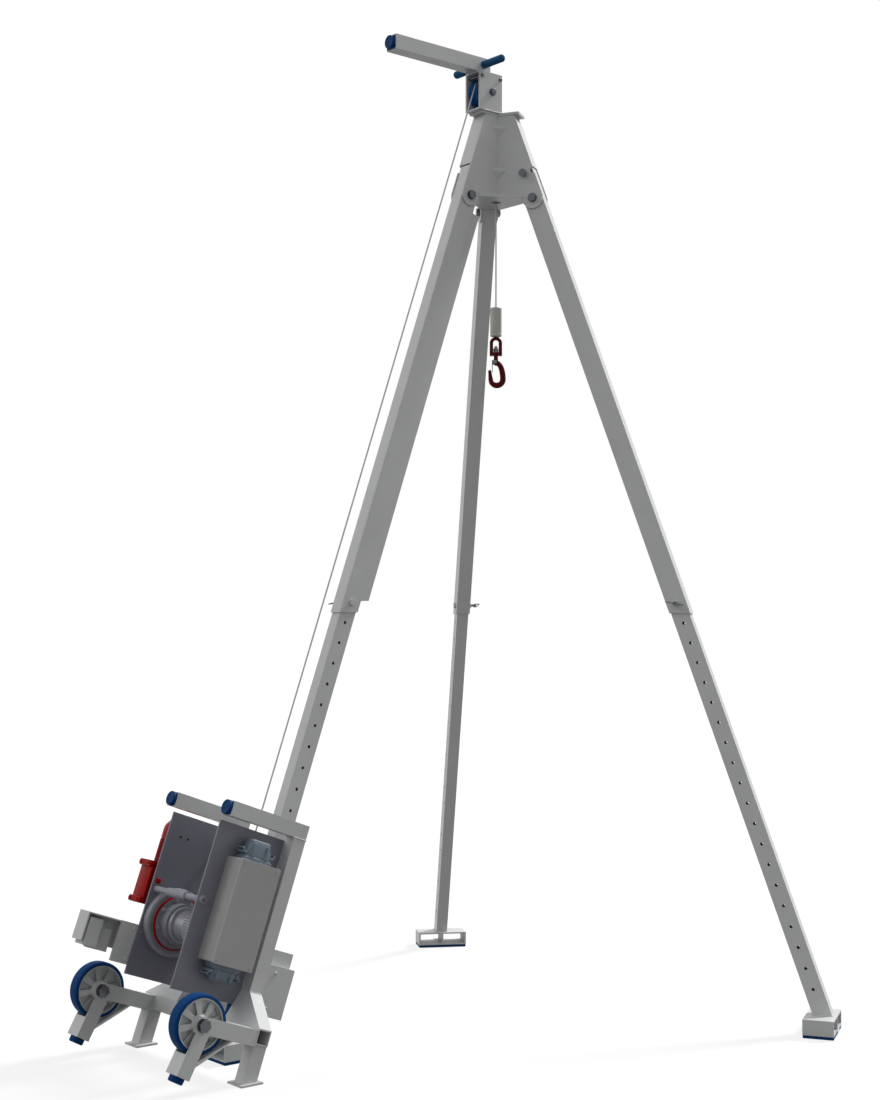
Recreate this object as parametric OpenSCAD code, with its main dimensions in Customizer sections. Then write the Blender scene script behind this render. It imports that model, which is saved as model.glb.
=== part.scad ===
// Rescue tripod with an electric rope winch carried on one leg.
// Frame: origin on the ground straight below the lifting rope, +Z up,
// the winch leg points to -Y, the other two legs to 30 and 150 degrees.
// A leg's own frame has x outward square to the leg, y along the ground
// square to the leg, and z up the leg from the ground.

/* [Stance] */
// Lean of each leg from the vertical, degrees
leg_tilt = 19.56; // [16:0.01:24]
// Distance of the pivot bolts from the lifting rope
pivot_r = 128; // [120:0.5:140]
// Length of a leg from the ground to its pivot bolt
pivot_up = 2646; // [2400:1:2800]

/* [Leg tubes] */
// Upper tube, size in the direction of the lean
upper_d = 60; // [58:0.5:66]
// Upper tube, size along the ground
upper_w = 46; // [45:0.5:50]
// Wall of the upper tube
upper_wall = 3.5; // [2.5:0.1:4]
// Running gap between upper and lower tube
tube_gap = 0.3; // [0.2:0.1:1]
// Wall of the lower tube
lower_wall = 3; // [2:0.1:4]
// Where the upper tube ends, up the leg
upper_end = 1280; // [1240:1:1290]
// Upper tube that stands above the pivot bolt
leg_head = 66; // [60:1:70]
// Lower tube that stays inside the upper one
tube_overlap = 184; // [160:1:220]
// Spacing of the setting holes
hole_pitch = 62; // [56:1:68]
// Diameter of the setting holes
hole_d = 9.5; // [8:0.1:11]
// Setting holes below the one in use
holes_below = 19; // [10:1:19]
// Setting holes above the one in use
holes_above = 1; // [1:1:2]
// Height of the leg plunger above the end of the upper tube
plunger_above_end = 31; // [30:1:60]
// Depth of the winch leg's stiffener rail
rail_d = 31; // [26:1:36]
// Width of the stiffener rail
rail_w = 32; // [28:1:40]
// Wall of the stiffener rail
rail_wall = 2.5; // [2:0.1:4]
// Lower end of the stiffener rail, up the leg
rail_low = 1332; // [1325:1:1400]
// Upper end of the stiffener rail, up the leg
rail_top = 2603; // [2500:1:2610]

/* [Feet] */
// Foot block along the ground, square to the leg
foot_w = 171; // [140:1:200]
// Foot block along the lean
foot_l = 88; // [80:1:110]
// Foot block height
foot_h = 44; // [36:1:60]
// Wall of the foot block
foot_wall = 5; // [4:0.5:7]
// Thickness of the rubber pad
pad_h = 8.6; // [6:0.1:12]

/* [Plungers] */
// Plunger pin diameter
pin_d = 8; // [6:0.1:9]
// Outer diameter of the plunger guide
guide_d = 17; // [15:0.5:20]
// Length of the plunger guide
guide_l = 8; // [6:0.5:12]
// Travel of a leg plunger
pin_travel = 10; // [8:0.5:10]
// Width of the wire pull
pull_w = 52; // [40:1:60]
// Turn of the wire pull from square to the leg, degrees
pull_turn = 30; // [0:1:45]
// Diameter of the round screw head opposite a plunger
screw_head_d = 19; // [16:0.5:22]
// Wire of the pull
pull_wire = 3.2; // [2.5:0.1:4]
// Diameter of a head lock plunger
lock_d = 14; // [12:0.5:16]
// Diameter of its knob
lock_knob_d = 23; // [20:0.5:26]
// Height of the head lock above the pivot bolt
lock_up = 82; // [80:0.5:90]
// Travel of a head lock plunger
lock_travel = 10; // [8:0.5:16]

/* [Head] */
// Thickness of the channel plates
plate_t = 4; // [3:0.5:6]
// Running gap beside a leg in its channel
channel_gap = 1; // [0.5:0.1:2]
// Edge of the channel plates beyond the leg's middle, and of their lobes round the pivot bolts
channel_n = 33; // [31:0.5:36]
// Underside of the top plate above the pivot bolts
head_h = 267; // [250:1:290]
// Thickness of the top plate
top_t = 8; // [6:0.5:12]
// Half width of a lobe of the top plate
top_lobe = 30; // [29:0.5:34]
// Reach of the top plate from the rope
top_reach = 84; // [80:1:90]
// Thickness of the bottom plate
bottom_t = 8; // [6:0.5:12]
// Diameter of the rope holes
rope_hole_d = 30; // [20:1:34]
// Pivot bolt diameter
pivot_d = 16; // [12:0.5:18]
// Radius of the stop pins
stop_r = 6; // [4:0.5:7]

/* [Pulley] */
// Rope diameter
rope_d = 5; // [4:0.1:6]
// Radius of the rope's middle on the pulley
pulley_r = 45.5; // [44:0.5:48]
// Flange radius of the pulley
pulley_flange_r = 51; // [50:0.5:54]
// Width of the pulley
pulley_w = 40; // [30:0.5:44]
// Height of the pulley axle above the top plate
pulley_up = 60.5; // [58:0.5:66]
// Width of the pulley housing
house_w = 67; // [60:1:76]
// Thickness of its plates
house_t = 5; // [4:0.5:6]
// Front edge of the housing from the rope
house_front = 98; // [97:0.5:102]
// Back edge of the housing from the rope
house_back = 5; // [4:0.5:8]
// Height of the housing
house_h = 121; // [119:1:130]
// Axle of the pulley
pulley_axle_d = 16; // [12:0.5:18]

/* [Head arm] */
// Section of the head arm
arm_s = 45; // [40:1:50]
// Front end of the head arm from the rope
arm_front = 419; // [380:1:460]
// Back end of the head arm from the rope
arm_back = 44; // [30:1:46]
// Wall of the head arm
arm_wall = 3; // [2.5:0.5:5]
// Length of the rubber cap that shows
cap_l = 11; // [8:0.5:16]
// Cross bar diameter
bar_d = 16; // [12:0.5:20]
// Length of the cross bar
bar_l = 228; // [160:1:240]
// Grip diameter
grip_d = 24; // [21:0.5:30]
// Cross bar from the rope
bar_y = 72; // [64:1:90]

/* [Winch frame] */
// Section of the frame tubes
tube_s = 40; // [36:1:44]
// Wall of the frame tubes
tube_wall = 3; // [2.5:0.5:4]
// Distance of the uprights' middles from the leg's middle
upright_u = 141; // [135:1:150]
// Back face of the uprights from the leg's middle
upright_n = 23; // [23:1:30]
// Lower end of the uprights, up the leg
upright_low = 195; // [190:1:200]
// Top of the frame arms, up the leg
frame_top = 653; // [640:1:670]
// Front end of the frame arms from the leg's middle
frame_arm_n = 279; // [270:1:300]
// Diameter of the rubber caps on the frame arms
frame_cap_d = 40; // [34:1:44]

/* [Winch cassette] */
// Thickness of the side plates
side_t = 5; // [4:0.5:6]
// Front edge of the side plates from the leg's middle
side_front = 278; // [270:1:290]
// Back edge of the side plates from the leg's middle
side_back = 38; // [36:1:44]
// Lower edge of the side plates, up the leg
side_low = 152; // [145:1:160]
// Upper edge of the side plates, up the leg
side_high = 599; // [590:1:605]
// Drum axis from the leg's middle
drum_n = 180; // [174:1:186]
// Drum axis, up the leg
drum_w = 314; // [305:1:325]
// Radius of the drum barrel
barrel_r = 39.5; // [36:0.5:42]
// Radius of the drum flanges
drum_flange_r = 52; // [50:0.5:56]
// Far end of the rope space on the drum, from the leg's middle
drum_low = -48; // [-52:1:-48]
// Near end of the rope space on the drum
drum_high = 55; // [48:1:60]
// Drum shaft diameter
shaft_d = 25; // [20:0.5:28]
// Turns of rope on the drum
drum_turns = 8; // [4:1:8]
// Spacing of those turns
turn_pitch = 5.6; // [5.5:0.1:6]
// Radius of the gearbox flange
gear_flange_r = 91; // [86:0.5:94]
// Length of the gearbox flange
gear_flange_l = 21; // [16:1:22]
// Guide roller radius under the rope
roller_r = 22; // [18:0.5:24]
// Guide roller axis, up the leg
roller_w = 545; // [530:1:560]
// Guide roller axle diameter
roller_axle_d = 12; // [10:0.5:14]

/* [Drive] */
// Motor radius
motor_r = 60; // [54:1:64]
// Motor length above the gearbox
motor_l = 190; // [170:1:200]
// Motor axis from the leg's middle
motor_n = 180; // [170:1:190]

/* [Control box] */
// Control box width
box_w = 125; // [110:1:130]
// Control box height
box_h = 274; // [250:1:290]
// Control box depth without its lid
box_d = 62; // [55:1:70]
// Thickness of the lid
lid_t = 14; // [10:1:18]
// Lower edge of the control box, up the leg
box_low = 242; // [238:1:250]
// Back edge of the control box from the leg's middle
box_n = 100; // [96:1:106]

/* [Wheels] */
// Wheel radius
wheel_r = 75; // [70:0.5:78]
// Wheel width
wheel_w = 38; // [34:0.5:40]
// Rubber thickness
tyre_t = 9; // [7:0.5:12]
// Wheel middle from the leg's middle, along the ground
wheel_u = 259; // [250:1:270]
// Wheel axle from the leg's middle, outward
wheel_n = 260; // [255:1:265]
// Wheel axle, up the leg
wheel_up = 90; // [86:1:94]
// Wheel axle diameter
wheel_axle_d = 20; // [16:0.5:22]
// Radius of a wheel's hub
hub_r = 24; // [20:0.5:28]
// Fork width over its plates
fork_w = 54; // [52:1:60]
// Fork plate thickness
fork_t = 4; // [3:0.5:5]
// Lean of the braces from the leg, degrees
brace_tilt = 9.4; // [6:0.1:12]
// Length of a brace below the axle
brace_l = 126; // [110:1:140]
// Back face of the cross tube from the leg's middle
cross_n = 50; // [48:1:56]
// Top of the cross tube, up the leg
cross_top = 115; // [110:1:120]

/* [Lifting hook] */
// Top of the sleeve weight above the ground
sleeve_top = 2162; // [2100:1:2180]
// Sleeve weight length
sleeve_l = 91; // [80:1:100]
// Sleeve weight diameter
sleeve_d = 36; // [30:1:40]
// Steel of the hook
hook_d = 18; // [16:0.5:19]
// Diameter of the hook at its shoulder
shoulder_d = 16; // [14:0.5:18]
// Diameter of the hook where the bowl turns up to the tip
bowl_end_d = 15; // [13:0.5:17]
// Inner radius of the hook
hook_r = 10; // [9:0.5:12]
// Outward lean of the hook's tip
tip_lean = 7; // [0:1:12]
// Middle of the bowl from the rope
bowl_x = 3; // [0:0.5:4]

/* [Hidden] */
$fn = 48;

steel = [0.80, 0.81, 0.82];
painted = [0.86, 0.87, 0.88];
dark_plate = [0.36, 0.37, 0.41];
blue_rubber = [0.06, 0.30, 0.58];
drive_red = [0.72, 0.10, 0.08];
hook_red = [0.36, 0.04, 0.06];
rope_grey = [0.62, 0.63, 0.65];
alloy = [0.74, 0.75, 0.75];
connector_grey = [0.42, 0.48, 0.54];

// azimuths of the three legs
winch_az = 270;
right_az = 30;
rear_az = 150;
AZ = [winch_az, right_az, rear_az];

eps = 0.02;
clear = 0.3;
// running clearance of a shaft in its bore, on the radius
run = 0.08;
rope_gap = 0.2;
foot_r = pivot_r + pivot_up * sin(leg_tilt);
pivot_z = pivot_up * cos(leg_tilt);
lower_d = upper_d - 2 * upper_wall - 2 * tube_gap;
lower_w = upper_w - 2 * upper_wall - 2 * tube_gap;
foot_top = foot_h + pad_h;
// the foot block stands under the point where the tube enters it
foot_in = foot_top * tan(leg_tilt) + 4;
plunger_up = upper_end + plunger_above_end;
lower_top = upper_end + tube_overlap;
channel_u = upper_w / 2 + channel_gap;
plate_u = channel_u + plate_t;
top_z = pivot_z + head_h;
deck_z = top_z + top_t;
bottom_z = pivot_z + 1.5;
lock_w = pivot_up + lock_up;
pulley_z = deck_z + pulley_up;
// outward offset of the rope from the leg's middle, so that it meets the pulley
rope_n = (pulley_r - foot_r) * cos(leg_tilt) + pulley_z * sin(leg_tilt) + pulley_r;
rope_top_w = (foot_r - pulley_r) * sin(leg_tilt) + pulley_z * cos(leg_tilt);
side_u = upright_u - tube_s / 2 - side_t;
wound_r = barrel_r + rope_d / 2 + rope_gap;
roller_n = rope_n + roller_r + rope_d / 2;
arm_z = deck_z + house_h;

function leg_z(w, n) = w * cos(leg_tilt) + n * sin(leg_tilt);
function edge_r(z, n) = pivot_r - (z - pivot_z) * tan(leg_tilt) + n / cos(leg_tilt);

// places children in the frame of the leg at an azimuth
module leg_frame(az) {
    rotate([0, 0, az]) translate([foot_r, 0, 0]) rotate([0, -leg_tilt, 0]) children();
}

// block given by its lower and upper corners
module block(a, b) {
    translate(a) cube(b - a);
}

// cylinder along the leg frame's y, from one side to the other
module cross_rod(n, w, r, u0, u1, fn = 48) {
    translate([n, u0, w]) rotate([-90, 0, 0]) cylinder(r = r, h = u1 - u0, $fn = fn);
}

// rectangular tube along z with its lower corner at a
module tube_z(a, b, wall) {
    difference() {
        block(a, b);
        block(a + [wall, wall, -1], b + [-wall, -wall, 1]);
    }
}

// everything above or below a level height, as a large block
module above(z) {
    translate([-2000, -2000, z]) cube([4000, 4000, 4000]);
}
module below(z) {
    translate([-2000, -2000, z - 4000]) cube([4000, 4000, 4000]);
}

// tube swept along points, its rings square to the path, of one radius or a radius for each point
function unit(v) = v / norm(v);
function heading(p, i) =
    i == 0 ? unit(p[1] - p[0])
    : i == len(p) - 1 ? unit(p[i] - p[i - 1])
    : unit(unit(p[i + 1] - p[i]) + unit(p[i] - p[i - 1]));
function ring(c, t, side, r, sides) =
    let (a = unit(side - (side * t) * t), b = cross(t, a))
    [for (k = [0:sides - 1]) c + r * (cos(360 * k / sides) * a + sin(360 * k / sides) * b)];
module swept(p, r, sides, side) {
    rings = [for (i = [0:len(p) - 1]) ring(p[i], heading(p, i), side, is_list(r) ? r[i] : r, sides)];
    points = [for (q = rings) each q];
    n = len(p);
    faces = concat(
        [[for (k = [0:sides - 1]) k]],
        [for (i = [0:n - 2], k = [0:sides - 1])
            [i * sides + k, (i + 1) * sides + k, (i + 1) * sides + (k + 1) % sides, i * sides + (k + 1) % sides]],
        [[for (k = [sides - 1:-1:0]) (n - 1) * sides + k]]
    );
    polyhedron(points = points, faces = faces, convexity = 10);
}

// Legs

module upper_leg(az) {
    color(painted)
    difference() {
        leg_frame(az) difference() {
            union() {
                block([-upper_d / 2, -upper_w / 2, upper_end - 40], [upper_d / 2, upper_w / 2, pivot_up + leg_head]);
                cross_rod(0, plunger_up, guide_d / 2, -upper_w / 2 - guide_l, -upper_w / 2 + eps);
                cross_rod(0, plunger_up, screw_head_d / 2, upper_w / 2 - eps, upper_w / 2 + 6);
            }
            difference() {
                block([-upper_d / 2 + upper_wall, -upper_w / 2 + upper_wall, upper_end - 60],
                    [upper_d / 2 - upper_wall, upper_w / 2 - upper_wall, pivot_up + leg_head + 1]);
                cross_rod(0, pivot_up, pivot_d / 2 + 4, -upper_w / 2, upper_w / 2);
            }
            cross_rod(0, pivot_up, pivot_d / 2 + run, -upper_w, upper_w);
            cross_rod(0, plunger_up, pin_d / 2 + run, -upper_w, 0);
        }
        below(leg_z(upper_end, 0));
    }
}

module lower_leg(az) {
    color(painted)
    difference() {
        union() {
            leg_frame(az) block([-lower_d / 2, -lower_w / 2, 0], [lower_d / 2, lower_w / 2, lower_top]);
            rotate([0, 0, az]) block([foot_r - foot_in - foot_l / 2, -foot_w / 2, pad_h],
                [foot_r - foot_in + foot_l / 2, foot_w / 2, foot_top]);
        }
        difference() {
            leg_frame(az) block([-lower_d / 2 + lower_wall, -lower_w / 2 + lower_wall, 0],
                [lower_d / 2 - lower_wall, lower_w / 2 - lower_wall, lower_top + 1]);
            below(foot_top);
        }
        rotate([0, 0, az]) for (side = [-1, 1])
            translate([foot_r - foot_in - foot_l / 2 - 1, side * (foot_w - foot_wall) / 4, pad_h + foot_wall])
            translate([0, -(foot_w / 2 - 1.5 * foot_wall) / 2, 0])
            cube([foot_l + 2, foot_w / 2 - 1.5 * foot_wall, foot_h - 2 * foot_wall]);
        leg_frame(az) for (i = [-holes_above:holes_below])
            cross_rod(0, plunger_up - i * hole_pitch, hole_d / 2, -lower_w, lower_w, 24);
        below(pad_h);
    }
}

module foot_pad(az) {
    color(blue_rubber)
    rotate([0, 0, az]) block([foot_r - foot_in - foot_l / 2, -foot_w / 2, 0],
        [foot_r - foot_in + foot_l / 2, foot_w / 2, pad_h]);
}

module leg_plunger(az) {
    tip = -upper_w / 2 + upper_wall - 0.2;
    tail = -upper_w / 2 - guide_l - pin_travel - 2;
    bails = [tail - 2.5, tail - 12];
    color(steel)
    leg_frame(az) translate([0, 0, plunger_up]) rotate([0, pull_turn, 0]) {
        cross_rod(0, 0, pin_d / 2, tail - 6, tip);
        cross_rod(0, 0, pin_d / 2 + 2.5, tail - 5, tail);
        for (u = bails)
            translate([-pull_w / 2, u, 0]) rotate([0, 90, 0]) cylinder(d = pull_wire, h = pull_w, $fn = 16);
        for (n = [-pull_w / 2, pull_w / 2]) {
            cross_rod(n, 0, pull_wire / 2, bails[1], bails[0], 16);
            for (u = bails)
                translate([n, u, 0]) sphere(d = pull_wire, $fn = 16);
        }
    }
}

module stiffener_rail() {
    color(painted)
    difference() {
        leg_frame(winch_az) tube_z([-upper_d / 2 - rail_d, -rail_w / 2, upper_end], [-upper_d / 2, rail_w / 2, rail_top], rail_wall);
        below(leg_z(rail_low, -upper_d / 2 - rail_d / 2));
    }
}

// Head

module channel_pair(az) {
    inner_r = channel_u / tan(60);
    outline = [
        [inner_r, bottom_z + bottom_t],
        [inner_r, top_z],
        [edge_r(top_z, channel_n), top_z],
        for (a = [leg_tilt:-(leg_tilt + 180) / 24:-180.1])
            [pivot_r + channel_n * cos(a), pivot_z + channel_n * sin(a)],
        [pivot_r - channel_n, bottom_z + bottom_t]
    ];
    difference() {
        for (side = [-1, 1])
            rotate([0, 0, az]) translate([0, side > 0 ? plate_u : -channel_u, 0]) rotate([90, 0, 0])
                linear_extrude(plate_t) polygon(outline);
        leg_frame(az) {
            cross_rod(0, pivot_up, pivot_d / 2, -60, 60);
            cross_rod(0, lock_w, lock_d / 2 + run, -60, 0);
            cross_rod(channel_n, lock_w, 11, -60, 0);
        }
    }
    // closing strip between the two plates, above the leg's end
    difference() {
        leg_frame(az) block([channel_n - plate_t, -channel_u, lock_w + 14], [channel_n, channel_u, pivot_up + 400]);
        above(top_z);
    }
}

module channel_plates() {
    color(painted) for (az = AZ) channel_pair(az);
}

module top_plate() {
    color(painted)
    difference() {
        for (az = AZ) rotate([0, 0, az]) block([0, -top_lobe, top_z], [top_reach, top_lobe, deck_z]);
        translate([0, 0, top_z - 1]) cylinder(d = rope_hole_d, h = top_t + 2);
    }
}

module bottom_plate() {
    rim = [for (az = AZ, side = [-1, 1])
        [pivot_r - channel_n + 5, az, side * plate_u]];
    corners = [for (c = rim)
        [c[0] * cos(c[1]) - c[2] * sin(c[1]), c[0] * sin(c[1]) + c[2] * cos(c[1])]];
    inner_face = edge_r(bottom_z + bottom_t, -upper_d / 2) - 1;
    color(painted)
    difference() {
        translate([0, 0, bottom_z]) linear_extrude(bottom_t) polygon(corners);
        translate([0, 0, bottom_z - 1]) cylinder(d = rope_hole_d, h = bottom_t + 2);
        for (az = AZ) rotate([0, 0, az])
            block([min(inner_face, pivot_r - channel_n - clear), -plate_u - clear, bottom_z - 1],
                [pivot_r, plate_u + clear, bottom_z + bottom_t + 1]);
    }
}

// small pressed corner pieces in each inward fold between two channels
module corner_gussets() {
    fold_r = plate_u / sin(60);
    front = fold_r + 12;
    half = (front - fold_r) * tan(60);
    color(painted)
    for (az = AZ, z = [pivot_z + 68, pivot_z + 203])
        rotate([0, 0, az + 60]) hull() {
            translate([0, 0, z + 22]) linear_extrude(10)
                polygon([[fold_r, 0], [front, half], [front, -half]]);
            translate([0, 0, z]) linear_extrude(1) polygon([[fold_r, 0], [fold_r + 1, tan(60)], [fold_r + 1, -tan(60)]]);
        }
}

module stop_pins() {
    color(steel)
    for (az = AZ) leg_frame(az)
        cross_rod(-upper_d / 2 - stop_r - clear, pivot_up + leg_head - 2 * stop_r, stop_r, -channel_u, channel_u);
}

module hex_head(n, w, u, across, h) {
    translate([n, u, w]) rotate([-90, 0, 0]) cylinder(d = across / cos(30), h = h, $fn = 6);
}

module pivot_bolts() {
    color(steel)
    for (az = AZ) leg_frame(az) {
        cross_rod(0, pivot_up, pivot_d / 2, -plate_u - 12, plate_u);
        hex_head(0, pivot_up, plate_u, 24, 10);
        hex_head(0, pivot_up, -plate_u - 10, 24, 10);
    }
}

module head_lock(az) {
    seat = -plate_u - lock_travel - 0.5;
    color(steel)
    leg_frame(az) {
        cross_rod(0, lock_w, lock_d / 2, seat, -channel_u - 0.5);
        cross_rod(0, lock_w, lock_knob_d / 2, seat - 9, seat);
    }
}

// Pulley and head arm, in a frame whose x runs from the rope towards the winch leg

module head_frame() {
    rotate([0, 0, winch_az]) children();
}

module pulley_housing() {
    inner = house_w / 2 - house_t;
    color(painted)
    head_frame() difference() {
        union() {
            for (side = [-1, 1])
                translate([0, side > 0 ? inner : -inner - house_t, 0])
                    block([house_back, 0, deck_z], [house_front, house_t, deck_z + house_h]);
            block([house_back, -inner, deck_z], [house_front, inner, deck_z + house_t]);
            block([house_back, -inner, deck_z + house_h - house_t], [house_front, inner, deck_z + house_h]);
        }
        cross_rod(pulley_r, pulley_z, pulley_axle_d / 2, -house_w, house_w);
        for (n = [house_back + 7, house_front - 11])
            cross_rod(n, deck_z + house_h - 15, 3, -house_w, house_w, 24);
    }
}

module pulley_axle() {
    out = house_w / 2;
    color(steel)
    head_frame() {
        cross_rod(pulley_r, pulley_z, pulley_axle_d / 2, -out - 8, out);
        for (side = [-1, 1])
            hex_head(pulley_r, pulley_z, side > 0 ? out : -out - 8, 19, 8);
        for (side = [-1, 1])
            translate([0, side * (pulley_w / 2 + out - house_t) / 2, 0])
                difference() {
                    gap = (out - house_t - pulley_w / 2 - 2 * clear) / 2;
                    cross_rod(pulley_r, pulley_z, pulley_axle_d / 2 + 4, -gap, gap);
                    cross_rod(pulley_r, pulley_z, pulley_axle_d / 2, -gap - 1, gap + 1);
                }
    }
}

module guard_bolts() {
    out = house_w / 2;
    color(steel)
    head_frame() for (n = [house_back + 7, house_front - 11]) {
        cross_rod(n, deck_z + house_h - 15, 3, -out - 3, out, 24);
        hex_head(n, deck_z + house_h - 15, out, 10, 4);
        hex_head(n, deck_z + house_h - 15, -out - 4, 10, 4);
    }
}

module pulley_wheel() {
    groove = pulley_r - rope_d / 2 - rope_gap;
    color(blue_rubber)
    head_frame() translate([pulley_r, 0, pulley_z]) rotate([-90, 0, 0])
        rotate_extrude($fn = 96) polygon([
            [pulley_axle_d / 2 + run, -pulley_w / 2],
            [pulley_flange_r, -pulley_w / 2],
            [pulley_flange_r, -pulley_w / 2 + 2],
            [groove, -rope_d / 2 - 0.4],
            [groove, rope_d / 2 + 0.4],
            [pulley_flange_r, pulley_w / 2 - 2],
            [pulley_flange_r, pulley_w / 2],
            [pulley_axle_d / 2 + run, pulley_w / 2]
        ]);
}

module head_arm() {
    color(painted)
    head_frame() difference() {
        block([arm_back, -arm_s / 2, arm_z], [arm_front, arm_s / 2, arm_z + arm_s]);
        block([arm_back - 1, -arm_s / 2 + arm_wall, arm_z + arm_wall],
            [arm_front + 1, arm_s / 2 - arm_wall, arm_z + arm_s - arm_wall]);
        cross_rod(bar_y, arm_z + arm_s / 2, bar_d / 2, -arm_s, arm_s);
    }
}

module arm_cap() {
    color(blue_rubber)
    head_frame() {
        translate([arm_front, 0, arm_z + arm_s / 2]) rotate([0, 90, 0])
            cylinder(d = arm_s - 4, h = cap_l);
        inner = arm_s - 2 * arm_wall - 2 * clear;
        translate([arm_front - 22, -inner / 2, arm_z + arm_s / 2 - inner / 2]) cube([22 + eps, inner, inner]);
    }
}

module cross_bar() {
    color(steel)
    head_frame() cross_rod(bar_y, arm_z + arm_s / 2, bar_d / 2, -bar_l / 2 + 3, bar_l / 2 - 3);
}

module bar_grips() {
    color(blue_rubber)
    head_frame() for (side = [-1, 1]) difference() {
        mirror([0, side < 0 ? 1 : 0, 0])
            cross_rod(bar_y, arm_z + arm_s / 2, grip_d / 2, arm_s / 2 + 1, bar_l / 2);
        cross_rod(bar_y, arm_z + arm_s / 2, bar_d / 2, -bar_l / 2 + 3, bar_l / 2 - 3);
    }
}

// Rope

function local_point(n, u, w) =
    let (r = foot_r - w * sin(leg_tilt) + n * cos(leg_tilt))
    [u, -r, w * cos(leg_tilt) + n * sin(leg_tilt)];
// tangents of the rope between the drum and the guide roller, both on their back side
lead_dn = roller_n - drum_n;
lead_dw = roller_w - drum_w;
lead_span = norm([lead_dn, lead_dw]);
roller_rope_r = roller_r + rope_d / 2;
hub_l = fork_w - 2 * fork_t - 2 * clear;
lead_angle = atan2(lead_dw, lead_dn) + acos((wound_r - roller_rope_r) / lead_span);
lead_up = local_point(sin(lead_angle), 0, -cos(lead_angle)) - local_point(0, 0, 0);
run_start = roller_w + 2;
// point in the leg's middle plane at a radius and angle from an axis there
function leg_point(n, w, r, a) = local_point(n + r * cos(a), 0, w + r * sin(a));

module rope_over_pulley() {
    color(rope_grey)
    head_frame() translate([pulley_r, 0, pulley_z]) rotate([90, -leg_tilt, 0])
        rotate_extrude(angle = 180 - leg_tilt, $fn = 96) translate([pulley_r, 0]) circle(d = rope_d, $fn = 24);
}

module rope_fall() {
    color(rope_grey)
    translate([0, 0, sleeve_top]) cylinder(d = rope_d, h = pulley_z - sleeve_top, $fn = 24);
}

module rope_run() {
    color(rope_grey)
    leg_frame(winch_az) translate([rope_n, 0, run_start]) cylinder(d = rope_d, h = rope_top_w - rope_gap - run_start, $fn = 24);
}

// from the drum to the guide roller, and round the roller to the straight run up the leg
module rope_lead() {
    leave = leg_point(drum_n, drum_w, wound_r, lead_angle) + rope_d * lead_up;
    wrap = [for (i = [0:4]) leg_point(roller_n, roller_w, roller_rope_r, lead_angle + (180 - lead_angle) * i / 4)];
    color(rope_grey) swept([leave, each wrap, local_point(rope_n, 0, run_start)], rope_d / 2, 8, [1, 0, 0]);
}

// Lifting hook, in the plane that faces 48 degrees

hook_plane = 48.4;
bow_top = sleeve_top - sleeve_l;
// underside of the swivel nut, which rests on the bow's crossbar
nut_z = bow_top - 50;
hook_bottom = bow_top - 162;
hook_mid = hook_r + hook_d / 2;
hook_z = hook_bottom + hook_mid + hook_d / 2;
// top of the hook's throat above the middle of its bowl
throat_h = 51;
latch_x = -2;
latch_z = hook_z + throat_h + 3;
latch_reach = 32;
tip_l = 32;
tip_d = 9;
latch_lean = 0.3;

module hook_frame() {
    rotate([0, 0, hook_plane]) children();
}

module sleeve_weight() {
    color(rope_grey)
    translate([0, 0, bow_top]) cylinder(d = sleeve_d, h = sleeve_l);
}

// inverted stirrup that carries the swivel
module hook_bow() {
    color(hook_red)
    hook_frame() {
        translate([0, 0, bow_top - 19.8]) rotate([90, 0, 0]) rotate_extrude(angle = 180, $fn = 48)
            translate([14, 0]) circle(d = 11, $fn = 24);
        for (side = [-1, 1]) translate([side * 14, 0, bow_top - 52]) cylinder(d = 11, h = 32, $fn = 24);
        difference() {
            translate([-19.5, -9, nut_z - 10]) cube([39, 18, 10]);
            translate([0, 0, nut_z - 11]) cylinder(r = 6 + run, h = 12);
        }
    }
}

module swivel_nut() {
    color(steel) {
        translate([0, 0, nut_z]) cylinder(d = 14 / cos(30), h = 13, $fn = 6);
        translate([0, 0, nut_z + 13 - eps]) cylinder(d = 9, h = 7, $fn = 32);
    }
}

// middle line of the hook: down its back in a quarter of an ellipse, round the bowl and up to the tip
function bowl_point(a, rise) = [bowl_x + hook_mid * cos(a), 0, hook_z + rise * sin(a)];
back_steps = 6;
bowl_steps = 12;
back_line = [for (i = [1:back_steps]) bowl_point(90 - 90 * i / back_steps, throat_h)];
bowl_line = [for (i = [1:bowl_steps]) bowl_point(-i * (180 - tip_lean) / bowl_steps, hook_mid)];
tip_end = bowl_point(180 + tip_lean, hook_mid) + tip_l * [-sin(tip_lean), 0, cos(tip_lean)];

module hook() {
    shoulder = hook_z + throat_h;
    path = concat([[bowl_x - 1, 0, shoulder]], back_line, bowl_line, [tip_end]);
    radii = concat(
        [shoulder_d / 2],
        [for (i = [1:back_steps]) (shoulder_d + (hook_d - shoulder_d) * i / back_steps) / 2],
        [for (i = [1:bowl_steps]) (hook_d - (hook_d - bowl_end_d) * max(0, i / bowl_steps * 2 - 1)) / 2],
        [tip_d / 2]
    );
    color(hook_red)
    hook_frame() difference() {
        union() {
            translate([0, 0, shoulder + 8]) cylinder(r = 6, h = nut_z - shoulder - 8);
            translate([0, 0, shoulder + 2]) cylinder(d1 = 15, d2 = 13, h = 18);
            translate([1.5, 0, shoulder]) sphere(r = shoulder_d / 2 + 0.5);
            swept(path, radii, 16, [0, 1, 0]);
        }
        translate([latch_x, 0, latch_z]) rotate([90, 0, 0]) cylinder(r = 2, h = 40, center = true);
    }
}

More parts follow.
